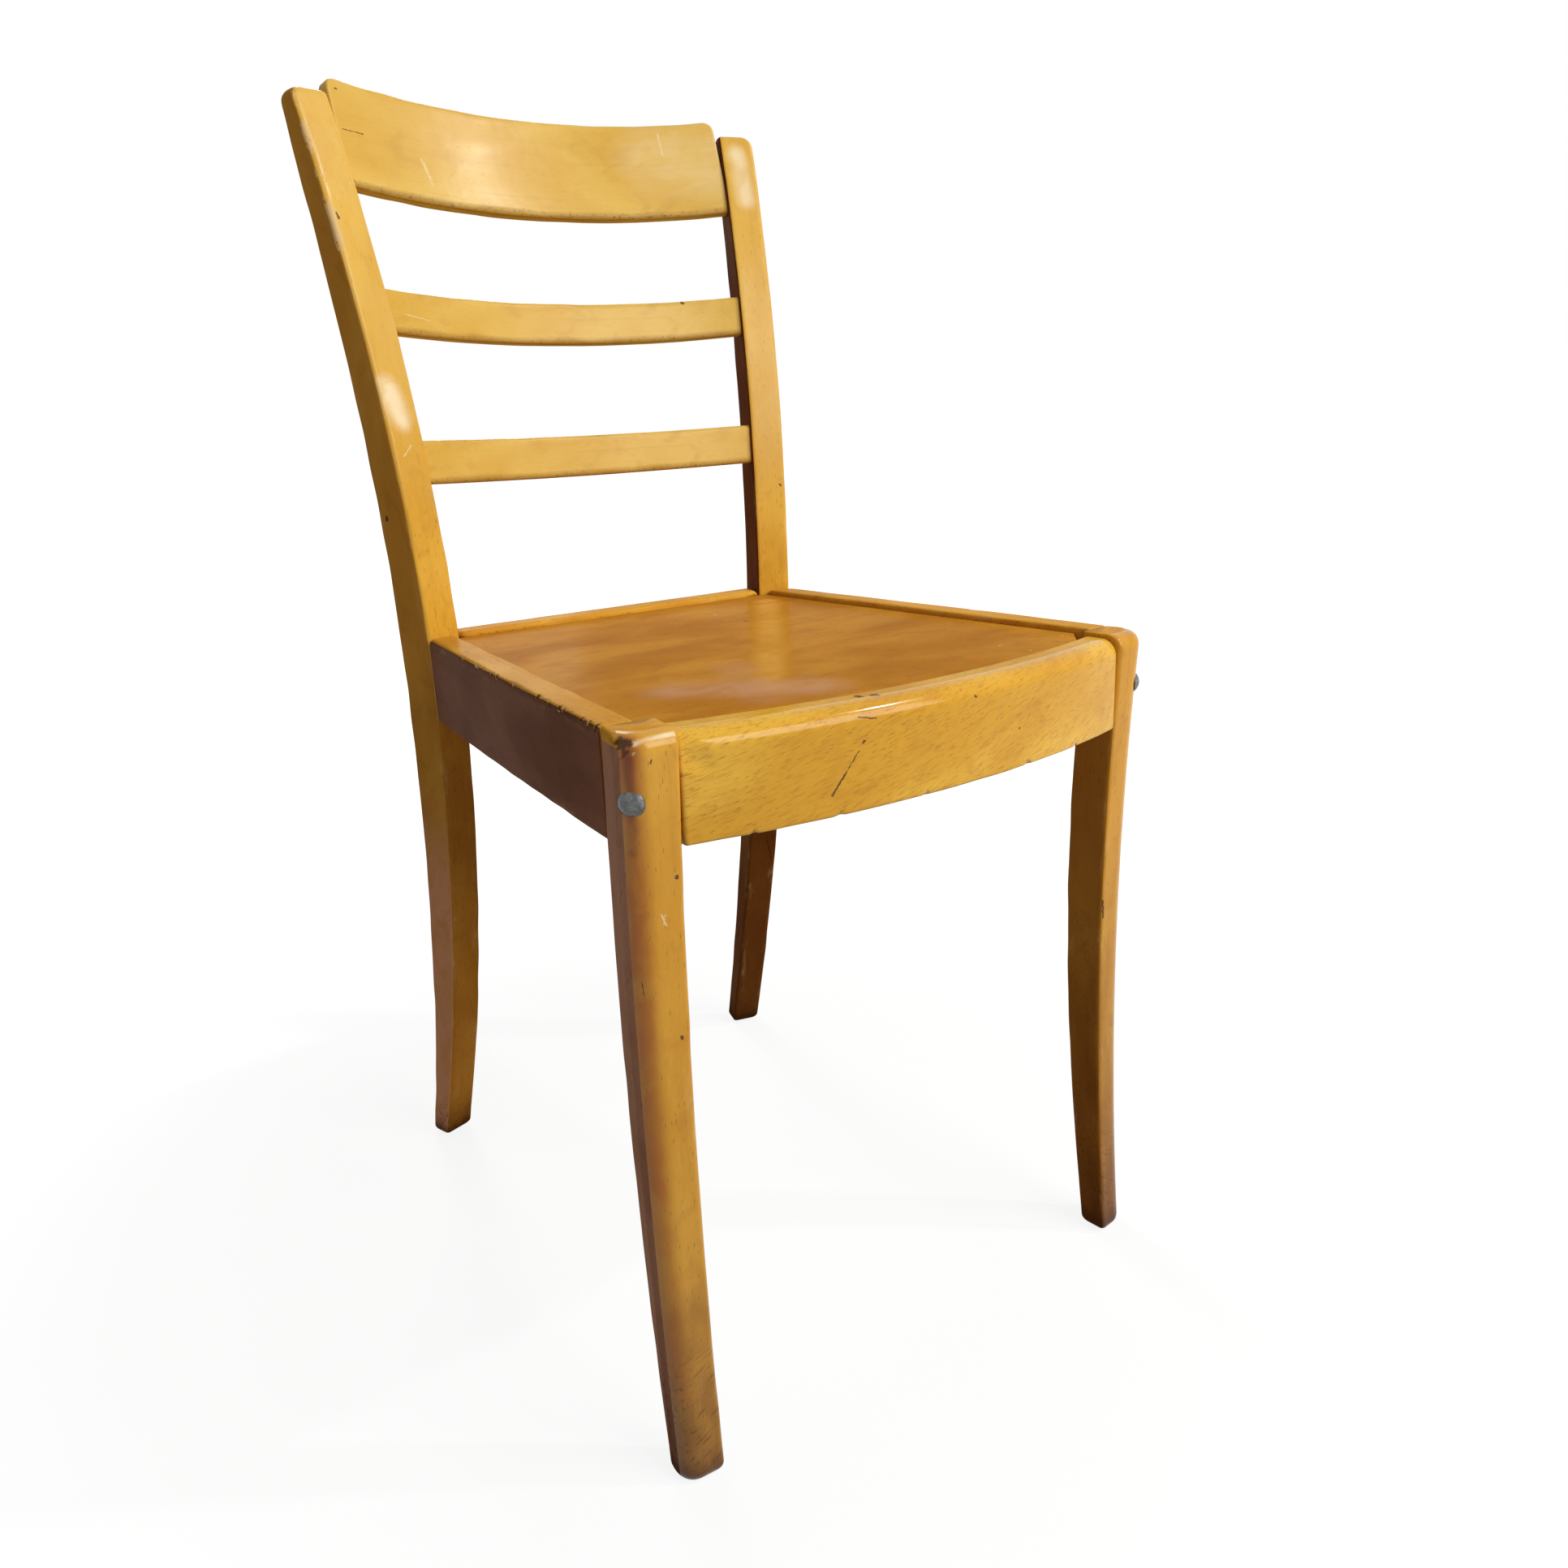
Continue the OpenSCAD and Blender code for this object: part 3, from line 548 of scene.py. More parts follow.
# ---- rear posts
def post(s, mats, side_mat):
    left = s < 0
    z = stations(0, POST_H, 3.0, FOOT_R, 12.0)
    foot, top = end_inset(z, FOOT_R), POST_H - z
    u0 = post_u(z) + foot + end_inset(top, 2.5)
    u1 = post_u(z) + post_width(z) - foot - end_inset(top, 9.0)
    v0 = post_v(z) + foot + end_inset(top, 3.0)
    v1 = post_v(z) + post_depth(z) - foot - end_inset(top, 12.0)
    uneven = [0.7 + 0.6 * table_noise(z / 23.0, 10 + k + 5 * left) for k in range(4)]
    worn = ramp(z, 640, 700) * (1.0 if left else 0.3)
    outer_r = 3.0 * uneven[1] + 0.9 * worn * table_noise(z / 7.0, 3)
    radii = across(2.6 * uneven[0], outer_r, 3.2 * uneven[2], 2.8 * uneven[3])
    ring = Ring(box(u0, u1, v0, v1), radii, (9, 10, 9, 10))
    u, v = ring.pts[..., 0], ring.pts[..., 1]
    zz = z[:, None]
    grain = across(u - post_u(z)[:, None], v - post_v(z)[:, None], zz)
    # the outer front arris is worn pale down from the top, and again at half height
    wear = ring.at(1) * worn[:, None] * (0.22 + 0.42 * table_noise(zz / 9.0, 21))
    wear = wear + ring.at(1) * bump1(zz, 545, 60) * 0.24 * left
    foot_dirt = ramp(zz, 62, 0) * 0.6 + ramp(zz, 16, 0) * 0.4
    by_rail = bump1(zz, SEAT_H - 28, 40) * ring.on(0) * 0.06
    grime = foot_dirt + by_rail + ramp(zz, POST_H - 8, POST_H) * 0.12 + ring.on(2) * 0.08
    # dark is painted shade under the seat, most on the right post's front and inner side, and grows
    # towards the foot, where foot_dirt adds dirt
    below = ramp(zz, SEAT_H, SEAT_H - 70)
    dark = below * (0.5 if left else 1.0) * ring.on(0) + foot_dirt * 0.3
    dark = dark + ramp(zz, 320, 60) * (0.05 if left else 0.7)
    dark = dark + below * ring.on(1, 2, 3) * 0.25
    if not left:
        dark = dark + below * ring.on(3) * 0.3
    # painted shade: the front and inner sides are darker below the seat, in the third material
    foot_rows = (0, np.searchsorted(z, SEAT_H - RAIL_H - 1), (0, 3), 2)
    loft(sided("rear_post", s), ring, across(*post_point(s, u, v, zz)), grain,
         masks(ring.edge * 0.8, grime, wear, dark), mats, left, side_mat, rows=(foot_rows,))


# ---- front legs
ROUND = 14.0  # radius of the leg's outer front corner


def leg(s, mats, side_mat):
    left = s < 0
    z = stations(0, SEAT_H, 2.4, FOOT_R, 10.0)
    v0 = leg_v(z)
    d, w = leg_depth(z), leg_width(z)
    foot, top = end_inset(z, FOOT_R), SEAT_H - z
    front, outer = v0 + end_inset(top, 10.0) + foot, -end_inset(top, 3.0) - foot
    back, inner = v0 + d - foot, foot - w
    corners = section((outer, front), (outer - d * tan(SKEW), back), (inner, back),
                      (inner + end_inset(top, 1.0), front))
    uneven = [0.75 + 0.5 * table_noise(z / 21.0, 40 + k + 5 * left) for k in range(4)]
    radii = across(ROUND, 3.2 * uneven[1], 2.6 * uneven[2], 3.0 * uneven[3])
    arc = 10
    ring = Ring(corners, radii, (7, 8, 8, 8), arc, (0.75, 0.24, 0.24, 0.24))
    in_round = ring.corner == 0
    arc_at = np.where(in_round, np.cumsum(in_round) / (arc + 1), 0.0)
    ring.side[in_round & (arc_at < 0.72)] = 3
    u, v = ring.pts[..., 0], ring.pts[..., 1]
    zz = z[:, None]
    chip = np.zeros(u.shape)
    if left:  # splintered chip on the top outer corner
        for cu, cv, cz, r, deep in ((-1.2, 6.5, 453.0, 6.5, 2.6), (-2.2, 3.5, 448.5, 5.0, 1.7),
                                    (-0.8, 12.0, 455.0, 4.0, 1.2)):
            away = np.sqrt((u - cu) ** 2 + (v - v0[:, None] - cv) ** 2 + (zz - cz) ** 2)
            ragged = r * (0.55 + 0.9 * noise2(v * 0.9, zz * 0.6, 5))
            chip = np.maximum(chip, np.clip(1 - away / ragged, 0, 1) ** 0.6 * deep)
        outwards = ring.pts - ring.pts.mean(1, keepdims=True)
        outwards = outwards / np.linalg.norm(outwards, axis=2, keepdims=True)
        ring.pts = ring.pts - outwards * (chip * (0.7 + 0.6 * noise2(v * 0.9, zz * 0.9, 6)))[..., None]
        u, v = ring.pts[..., 0], ring.pts[..., 1]
    grain = across(u, v - v0[:, None], zz)
    corner, outside = ring.at(0), ((ring.side == 0) & ~in_round)[None] * 1.0
    # the outer half of the round corner is stained, most of all high up
    stain = corner * ramp(arc_at, 0.2, 0.7)[None]
    streaky = 0.45 + 0.55 * table_noise(zz / 34.0 + ring.around[0][None] / 9.0, 71)
    foot_dirt = ramp(zz, 150, 0) * 0.5 + ramp(zz, 24, 0) * 0.4
    grime = foot_dirt + stain * streaky * ramp(zz, 180, 330) * (0.22 if left else 0.1)
    grime = grime + ring.at(3) * ramp(zz, 300, 440) * 0.08 + (chip > 0.9) * 0.9
    wear = ((chip > 0.25) & (chip < 0.9)) * 0.48 + (1 - outside) * bump1(zz, 30, 40) * 0.16
    # dark: darker towards the foot on all but the outer side, painted shade on the inner side below the
    # rail, dirt with foot_dirt, and the stain on the corner
    low = ramp(zz, 360, 60) * (0.34 if left else 0.66 - 0.26 * ring.on(2))
    dark = stain * (0.05 if left else 0.3) + foot_dirt * 0.4 + (1 - outside) * low
    dark = dark + ring.on(2) * ramp(zz, 402, 392) * (0.1 if left else 0.45)
    edge = ring.edge * 0.7 * (1 - corner) * (ring.corner != 1)
    mask = masks(edge, grime, wear, dark * (1 - np.clip(chip / 2, 0, 1)))
    # the back beside the rail and the outside's top edge are in the third material, a lighter copy that
    # paints the light on these strips
    by_rail, by_top = np.searchsorted(z, (SEAT_H - 58, SEAT_H - 8))
    rows = ((by_rail, len(z), (2,), 2), (by_top, len(z), (0,), 2))
    xyz = across(*leg_point(s, u, v, zz - chip * 0.35))
    loft(sided("front_leg", s), ring, xyz, grain, mask, mats, left, side_mat, top=2, rows=rows)


# ---- bowed boards of the back
def lean_at(z):
    return math.atan((on_post(1, 0, z + 30)[1] - on_post(1, 0, z - 30)[1]) / 60)


class Board:
    """A bowed board, at the height of its middle. sag is how far its front face bows back."""

    def __init__(self, height, lean, sag):
        self.half, post_y, _ = on_post(1, 0, height)
        self.y, self.height, self.lean = post_y + SLAT_SET, height, lean
        self.bow_r = (self.half**2 + sag**2) / (2 * sag)
        self.axis_y = sag - self.bow_r

    def place(self, rho, angle, up):
        """The world's place of a point rho from the bow's axis, at this angle, up from the middle."""
        x, y = rho * np.sin(angle), self.axis_y + rho * np.cos(angle)
        return (x, self.y + y * cos(self.lean) + up * sin(self.lean),
                self.height - y * sin(self.lean) + up * cos(self.lean))

    def on_front(self, x, up):
        return self.place(self.bow_r, math.asin(x / self.bow_r), up)

    def build(self, node, h, t, mats, rounding, seed, x_end, corner=1.5):
        """The piece, h high and t thick, with its ends at x_end."""
        r = self.bow_r
        arc = math.asin(x_end / (r + t / 2)) * r
        s = stations(-arc, arc, 2.4, corner, corner)
        near = arc - np.abs(s)
        ease = end_inset(near, 1.5)
        z0, z1 = ease - h / 2, h / 2 - end_inset(near, corner)
        front, back = r + ease, r + t - ease
        uneven = [size * (0.75 + 0.5 * table_noise(s / 19.0, seed + k)) for k, size in enumerate(rounding)]
        tall = max(6, int(h / 3.2))
        ring = Ring(box(front, back, z0, z1), across(*uneven), (3, tall, 3, tall))
        rho, up = ring.pts[..., 0], ring.pts[..., 1]
        grain = across(rho - r, up, s[:, None])
        # dirt gathers at the posts and along the front's lower edge
        end_dirt = ramp(near, 14, 0)[:, None] * ring.on(3) * 0.1
        low_dirt = ring.on(3) * ramp(up, -h / 2 + 8, -h / 2) * (0.24 if h > 2 * SLAT_H else 0.12)
        # painted shade: dark darkens the front's lower arris, which faces down
        mask = masks(ring.edge * 0.9, end_dirt + low_dirt + ring.at(0) * 0.12, 0.0, ring.at(0) * 0.4)
        loft(node, ring, across(*self.place(rho, (s / r)[:, None], up)), grain, mask, mats,
             side_mat=(1, 0, 0, 0))


# ---- seat rails
def chips(s, around, table):
    """Depth of the chips listed as (place, half length, depth) along an edge, rough in outline."""
    deep = np.zeros(np.broadcast(s, around).shape)
    for c, half, d in table:
        shape = np.clip(1 - np.abs((s - c) / half) ** 2, 0, 1)
        deep = np.maximum(deep, d * shape * (0.35 + 1.1 * noise2(s * 0.8, around * 0.9 + c, 9)))
    return deep


def rail_point(out, ahead):
    """Where a point is in the plan of the right side rail, out from its outer line and ahead along it."""
    x = RAIL_A[0] + out * cos(RAIL_ANG) + ahead * sin(RAIL_ANG)
    return x, RAIL_A[1] + out * sin(RAIL_ANG) - ahead * cos(RAIL_ANG)


def rail_end(out, point, normal):
    """How far ahead the line at out meets the end plane through point."""
    x, y = rail_point(out, 0.0)
    across_line = normal[1] * cos(RAIL_ANG) - normal[0] * sin(RAIL_ANG)
    return (normal[0] * (x - point[0]) + normal[1] * (y - point[1])) / across_line


def side_rail(s, mats, chip_table, side_mat=(0,) * 6):
    left = s < 0
    # each end stays a little clear of the post or leg that it meets
    to_post = np.array([-sin(POST_TURN), -cos(POST_TURN)])
    post_face = np.array([POST_X, POST_Y]) + RAIL_GAP * to_post
    to_leg = np.array([-sin(LEG_TURN), cos(LEG_TURN)])
    leg_back = leg_v(SEAT_H - 30) + leg_depth(SEAT_H - 30) + RAIL_GAP
    leg_face = np.array([LEG_X, LEG_Y]) + leg_back * to_leg
    length = abs(rail_end(0.0, leg_face, to_leg) - rail_end(0.0, post_face, to_post))
    st = stations(0, length, 0.8, 6.0, 1.0)
    tiny = end_inset(st, 0.8) + end_inset(length - st, 0.8)
    z1 = SEAT_H - end_inset(st, 6.0) - end_inset(length - st, 1.0)
    z0 = SEAT_H - RAIL_H + tiny
    outer, shelf = 1.5 * np.sin(np.pi * st / length) - tiny, PANEL_TOP - PANEL_T
    corners = section((outer, z0), (outer, z1), (-SIDE_LAND, z1), (-SIDE_LAND, shelf), (-SIDE_T, shelf),
                      (-SIDE_T, z0))
    uneven = [0.7 + 0.6 * table_noise(st / 17.0, 80 + k + 7 * left) for k in range(3)]
    radii = across(1.6 * uneven[0], 2.6 * uneven[1], 2.2 * uneven[2], 0.3, 0.5, 1.2)
    ring = Ring(corners, radii, (16, 7, 3, 2, 6, 6), arc=7)
    u, v = ring.pts[..., 0], ring.pts[..., 1]
    ss = st[:, None]
    near_top = np.clip(1 - np.hypot(u - outer[:, None], v - z1[:, None]) / 3.2, 0, 1)
    deep = chips(ss, ring.around, chip_table) * ramp(near_top, 0.05, 0.6)
    u, v = u - deep * 0.85, v - deep * 0.75
    start, end = rail_end(u, post_face, to_post), rail_end(u, leg_face, to_leg)
    x, y = rail_point(u, start + (end - start) * (st / length)[:, None])
    top_edge = ring.at(1)
    ends = ramp(ss, 10, 0) * 0.5 + ramp(length - ss, 8, 0) * 0.35
    wear = np.clip(deep / 0.3, 0, 1) * (deep < 0.45) * 0.46
    wear = wear + top_edge * (0.02 + 0.26 * table_noise(ss / 5.0, 33)) * (1.0 if left else 0.5)
    grime = ends * 0.5 + ring.on(2, 3) * 0.2 + (deep > 0.45) * 0.5
    grime = grime + top_edge * (0.1 + 0.25 * left * ramp(ss, 80, 200))
    # painted shade: dark darkens the outer face towards the post, the left rail's most
    dark = ring.on(0) * (1 - top_edge) * (0.12 if left else 0.05) * ramp(ss, length, 0)
    mask = masks(ring.edge * 0.8 * ring.on(0, 1, 2), grime, wear, dark)
    loft(sided("side_rail", s), ring, across(s * x, y, v),
         across(u, v - SEAT_H, ss), mask, mats, left, side_mat)


def rear_rail(mats):
    x = stations(-POST_X, POST_X, 3.0, 6.0, 6.0)
    near = POST_X - np.abs(x)
    uneven = [0.7 + 0.6 * table_noise(x / 19.0, 110 + k) for k in range(4)]
    radii = across(1.2, 1.5 * uneven[1], 2.8 * uneven[2], 2.6 * uneven[3])
    profile = box(POST_Y, POST_Y + REAR_T, SEAT_H - RAIL_H, SEAT_H - end_inset(near, 6.0))
    ring = Ring(profile, radii, (6, 14, 6, 14))
    y, z = ring.pts[..., 0], ring.pts[..., 1]
    reach = POST_X + (y - POST_Y) * tan(POST_TURN) - RAIL_GAP
    ends = ramp(near, 12, 0)[:, None] * 0.4
    low = (z < PANEL_TOP + 1.2) * (y < POST_Y + 2) * 0.35
    loft("rear_rail", ring, across(x[:, None] / POST_X * reach, y, z), across(y, z, x[:, None]),
         masks(ring.edge * 0.7, ends + low, 0.06, 0), mats)


def on_front_rail(along, down, deep=0.0):
    """A place along the bow of the front rail's face from its middle, and down from its top."""
    rho = BOW_R - deep
    return rho * sin(along / BOW_R), BOW_CY - rho * cos(along / BOW_R), FRONT_TOP - down


FRONT_CHIPS = ((-131, 2.5, 1.0), (-79, 3.5, 1.1), (-20, 2, 0.7), (66, 3, 1.0), (118, 2, 0.8))


def front_rail(mats):
    f = np.linspace(-1, 1, 221)
    f = np.sign(f) * (1 - (1 - np.abs(f)) ** 1.06)  # from -1 to 1, closer together at the ends
    arc = math.asin(END_X / BOW_R) * BOW_R
    s = f * arc
    near = arc - np.abs(s)
    tiny = end_inset(near, 0.6)
    back, front, land = BOW_R - FRONT_T, BOW_R - tiny, BOW_R - FRONT_LAND
    z0, z1, shelf = FRONT_TOP - FRONT_H + tiny, FRONT_TOP - tiny, PANEL_TOP - PANEL_T
    corners = section((back, z0), (front, z0), (front, z1), (land, z1), (land, shelf), (back, shelf))
    low_r, top_r = (r * (1 - a / 2 + a * table_noise(s / 21.0, 130 + k))
                    for r, a, k in ((2.2, 0.6, 1), (12.0, 0.12, 2)))
    ring = Ring(corners, across(1.0, low_r, top_r, 1.2, 0.3, 0.5), (8, 20, 8, 3, 2, 12), arc=12)
    rho, z = ring.pts[..., 0], ring.pts[..., 1]
    ss = s[:, None]
    face = ramp(rho, BOW_R - 16, BOW_R - 6)
    # the shaping stops short of the left leg in a shallow scoop with a crease
    ds, dz = ss + arc - 5.0, z - (FRONT_TOP - 13.0)
    scoop = np.clip(1 - np.hypot(ds / 15.0, (dz + 0.35 * ds) / 9.0), 0, 1) ** 0.8 * 1.7
    # the face is a little uneven, and its lower edge has chips
    wave = 0.18 * (noise2(ss / 34.0, z / 26.0, 12) - 0.5)
    rho = rho + face * (wave - scoop - 0.2)
    at_low = np.clip(1 - np.hypot(rho - BOW_R, z - z0[:, None]) / 4.0, 0, 1)
    chip = at_low * chips(ss, ring.around, FRONT_CHIPS)
    rho, z = rho - chip, z + chip * 0.8
    # each arc ends a little clear of the legs' turned inner faces
    reach = np.arcsin(END_X / BOW_R)
    for _ in range(3):
        y = BOW_CY - rho * np.cos(reach)
        x_end = END_X - (y - LEG_IN_Y) * tan(LEG_TURN)
        reach = np.arcsin(x_end / rho)
    gap = np.where(f[:, None] > 0, 0.4, 0.12)  # wider beside the right leg
    a = f[:, None] * (reach - gap / rho)
    xyz = across(rho * np.sin(a), BOW_CY - rho * np.cos(a), z)
    low = ring.on(1) * ramp(z, FRONT_TOP - FRONT_H + 5, FRONT_TOP - FRONT_H) * 0.16
    grime = ramp(near, 2.5, 0)[:, None] * 0.3 + np.clip(chip, 0, 1) * 0.8 + low + ring.on(3, 4, 5) * 0.15
    mask = masks(ring.edge * 0.4 * ring.at(1), grime, 0, 0)
    loft("front_rail", ring, xyz, across(rho - BOW_R, z - FRONT_TOP, ss), mask, mats, True,
         (1, 0, 1, 1, 1, 1), keep=(2,))


# ---- seat panel
def on_panel(x, y):
    return x, y, PANEL_TOP


def panel(mats):
    gap, notch = 0.3, 25.0  # notch is how far the cut corner beside a leg goes in
    rail_in = lambda y: RAIL_A[0] + (RAIL_A[1] - y) * tan(RAIL_ANG) - SIDE_LAND / cos(RAIL_ANG) - gap
    x_back, y_back = rail_in(POST_Y), POST_Y - gap
    x_post = POST_X - 0.8
    y_side = y_back - (x_back - x_post) * tan(POST_TURN)
    y_cut = LEG_Y + LEG_T * cos(LEG_TURN) + 12 - gap
    x_cut = rail_in(y_cut)
    rho = BOW_R - FRONT_LAND - gap
    bow_y = lambda x: BOW_CY - sqrt(rho**2 - x * x)
    # the right half, from back middle to front middle
    half = [(t * x_post, y_back) for t in np.linspace(0, 1, 40)]
    half += [(x_post + (x_back - x_post) * t, y_back + (y_side - y_back) * t)
             for t in np.linspace(0.2, 1, 4)]
    half += [(rail_in(y), y) for y in np.linspace(y_side, y_cut, 110)[1:]]
    half += [(x_cut - notch * t, y_cut - notch * t) for t in np.linspace(0, 1, 12)[1:]]
    half += [(x, bow_y(x)) for x in np.linspace(x_cut - notch, 0, 50)[1:]]
    half = np.array(half)
    other = half[::-1][1:-1] * np.array([-1, 1])
    loop = np.concatenate([half, other])[::-1]  # anticlockwise from above
    way = np.roll(loop, -1, 0) - np.roll(loop, 1, 0)
    way = way / np.linalg.norm(way, axis=1, keepdims=True)
    inward = np.stack([-way[:, 1], way[:, 0]], 1)
    top, under = PANEL_TOP, PANEL_TOP - PANEL_T
    levels = ((0.4, under), (0.0, under + 0.4), (0.0, top - 1.0), (0.12, top - 0.5), (0.4, top - 0.15),
              (1.0, top))
    rings = [np.column_stack([loop + inward * e, np.full(len(loop), z)]) for e, z in levels]
    centre = np.array([0.0, -40.0])
    for k in (0.97, 0.9, 0.75, 0.55, 0.3):
        inner = centre + (loop + inward * 1.0 - centre) * k
        rings.append(np.column_stack([inner, np.full(len(loop), top)]))
    xyz = np.stack(rings)
    m, n, _ = xyz.shape
    verts = np.concatenate([xyz.reshape(-1, 3), [[*centre, under]], [[*centre, top]]])
    rim = np.zeros((m, n))
    rim[:len(levels)] = 1.0
    rim[len(levels)] = 0.35
    worn_back = np.clip(xyz[..., 1] - 95, 0, 40) / 40 * 0.16
    mask = np.concatenate([masks(0, rim * 0.22, worn_back, 0).reshape(-1, 4), np.zeros((2, 4))])
    grain = verts[:, [2, 1, 0]]  # face grain runs from side to side
    make("seat_panel", verts, loft_faces(m, n), grain, mask, mats)


# ---- dome-head bolts
BOLT_DROP, BOLT_R, HEAD_R, HEAD_H, HEAD_SINK = 35.0, 3.0, 7.5, 4.5, 1.2
BLOCK_REACH, WASHER_T, NUT_T, PAST_NUT = 58.0, 1.5, 5.0, 4.0


def bolt(s, mats):
    """A bolt square to the round corner: its head, shank and end, turned about one axis."""
    z = SEAT_H - BOLT_DROP
    in_corner = ROUND - HEAD_SINK
    middle = np.array([-ROUND * (1 / cos(SKEW) + tan(SKEW)), ROUND + leg_v(z)])
    inwards = np.array([cos(RAD(135)), sin(RAD(135))])
    base = middle - inwards * in_corner
    start = np.array(leg_point(s, *base, z))
    axis = np.array(leg_point(s, *(base + inwards), z)) - start
    side, up = np.array([-axis[1], axis[0], 0.0]), np.array([0.0, 0.0, 1.0])
    # from under the head through the block, the washer and the nut
    length = BLOCK_REACH + in_corner - ROUND * 0.4 + WASHER_T + NUT_T + PAST_NUT
    dome_r = (HEAD_R**2 + HEAD_H**2) / (2 * HEAD_H)
    crown = HEAD_H - 0.4  # the head's top is worn a little lower
    swing = np.linspace(0.04, math.asin(HEAD_R / dome_r) * 0.965, 22)
    profile = [(dome_r * sin(a), dome_r * (1 - cos(a)) - crown) for a in swing]
    profile += [(HEAD_R - 0.05, -0.25), (HEAD_R - 0.08, 0.1), (BOLT_R, 0.1), (BOLT_R, length - 0.5),
                (BOLT_R - 0.5, length)]
    n = 72
    turn = np.linspace(0, 2 * np.pi, n, endpoint=False)
    rows = []
    for r, h in profile:
        u, v = r * np.cos(turn), r * np.sin(turn)
        dented = h + (0.09 * (noise2(3 + u * 0.9, 9 + v * 0.9, 31) - 0.5) if h < 0 else 0 * turn)
        rows.append(start + dented[:, None] * axis + u[:, None] * side + v[:, None] * up)
    verts = np.concatenate([*rows, [start - axis * crown], [start + axis * length]])
    make(sided("leg_bolt", s), verts, loft_faces(len(rows), n), verts,
         np.zeros((len(verts), 4)), mats)


# ---- marks seen on the wood
def placed(where, *table):
    """Marks or patches (..., from, to, half width) with their ends taken to the world by where."""
    return [(*what, where(*a), where(*b), half) for *what, a, b, half in table]


# painted light: the first colour is a painted highlight, the second a painted reflection on the seat, the
# third a painted pool of light
GLARE, REFLECTED_HAZE, PAINTED_SUNLIGHT = srgb(255, 234, 190), srgb(210, 156, 116), srgb(240, 200, 104)
# the first colour is painted shade, the rosy cast of a shaded side; the other two are stains
SHADED_ROSE, STAIN, BURNT = srgb(214, 148, 110), srgb(192, 110, 26), srgb(136, 66, 16)
# the foot smear is dirt; the second colour is a painted reflection on the seat
FOOT_SMEAR, REFLECTED_BAND = srgb(150, 96, 36), srgb(236, 176, 84)

crest_lean = lean_at(BACK_H - 38)
crest = Board(BACK_H - CREST_H * cos(crest_lean) / 2, crest_lean, 28.0)
middle_slat = Board(680.0, lean_at(680), 28.0)
lower_slat = Board(577.5, lean_at(577.5), 20.0)
post_l, post_r = partial(on_post, -1), partial(on_post, 1)
leg_l, leg_r = partial(on_leg, -1), partial(on_leg, 1)

POST_L_MARKS = placed(
    post_l,
    ("pale", (19.5, 582.5), (11.5, 589.5), 0.7),
    ("pale", (22, 628), (12.5, 608), 0.6),
    ("pale", (18, 626, -1), (11.5, 603, 0.5), 0.5),
    ("pale", (23.5, 620, 1.5), (19, 599, 2.5), 0.5),
    ("pale", (23.5, 276), (17.5, 269), 0.6),
    ("dark", (23, 740.5), (22, 737, 1), 1.2))
POST_L_SIDE_MARKS = placed(post_l, ("dark", (28, 540.5, 23), (28, 539.5, 23.5), 2.2))
POST_R_MARKS = placed(
    post_r,
    ("dark", (22.5, 543), (23, 542.5), 1.4),
    ("dark", (16.5, 216.5), (22, 195.5), 1.2))
LEG_L_MARKS = placed(
    leg_l,
    ("dark", (5.5, 322, 3.5), (6, 313, 3), 0.45),
    ("gouge", (26.5, 378), (26.5, 377.5), 1.3),
    ("gouge", (24.5, 286), (24.5, 285), 1.2),
    ("dark", (15, 441.5), (15.5, 443), 0.8),
    ("pale", (17, 359), (19.5, 352.5), 0.7),
    ("pale", (19, 359), (18, 353), 0.5))
LEG_R_MARKS = placed(leg_r, ("dark", (29.5, 268.5), (28.5, 256), 1))
CREST_MARKS = placed(
    crest.on_front,
    ("dark", (-152.5, 1.5), (-137, 2), 0.5),
    ("pale", (-93.5, -5.5), (-88.5, -25), 1),
    ("pale", (-91.5, -8), (-88.5, -20.5), 0.7),
    ("pale", (111.5, 30), (112, 12), 0.9),
    ("dark", (-151, 29.5), (-150, 29.5), 1))
SLAT_MARKS = placed(
    middle_slat.on_front,
    ("gouge", (102.5, 13.5), (103.5, 13), 1.5),
    ("pale", (-134.5, -1.5), (-115, -4), 0.5))
FRONT_MARKS = placed(
    on_front_rail,
    ("gouge", (-67, 25.5), (-76.5, 37), 0.4),
    ("gouge", (-75.5, 36), (-84.5, 47), 0.75),
    ("gouge", (-63.5, 20.5), (-64.5, 21.5), 0.9),
    ("dark", (-66, 7, 1), (-55, 9.5, 0.5), 0.6),
    ("gouge", (-57, 0, 16.5), (-54.5, 0, 16), 1),
    ("gouge", (-49, 0, 13.5), (-45, 0, 12.5), 0.9),
    ("dark", (17, 9), (17.5, 9.5), 1.1),
    ("dark", (56, 35), (56, 35.5), 1.1))
PANEL_MARKS = placed(
    on_panel,
    ("dark", (49.5, 33.5), (50, 32), 1.6),
    ("pale", (51, 77), (51.5, 76.5), 1.2),
    ("pale", (109.5, -199.5), (109.5, -199), 1.1),
    ("pale", (108, -173.5), (108.5, -173.5), 1),
    ("pale", (161.5, -180.5), (161, -180), 1.3))
# painted light on the left post: a pool of light up high and a painted highlight
POST_L_SOFT = placed(
    post_l,
    (PAINTED_SUNLIGHT, 0.5, (3.5, 820, -8), (18, 660, 9), 150),
    (GLARE, 0.95, (20.5, 629, -1.5), (14.5, 608), 13))
# painted light on the right post: a pool of light and a painted highlight near the top
POST_R_SOFT = placed(
    post_r,
    (PAINTED_SUNLIGHT, 0.35, (8, 820, -6.5), (21, 620, 7), 150),
    (GLARE, 0.75, (13, 806), (15.5, 770, 2.5), 12))
# painted shade: the rosy cast of the left post's shaded outer side low down
POST_L_SIDE_SOFT = placed(post_l, (SHADED_ROSE, 0.95, (36, 230, 12.5), (27, 20, 14.5), 110))
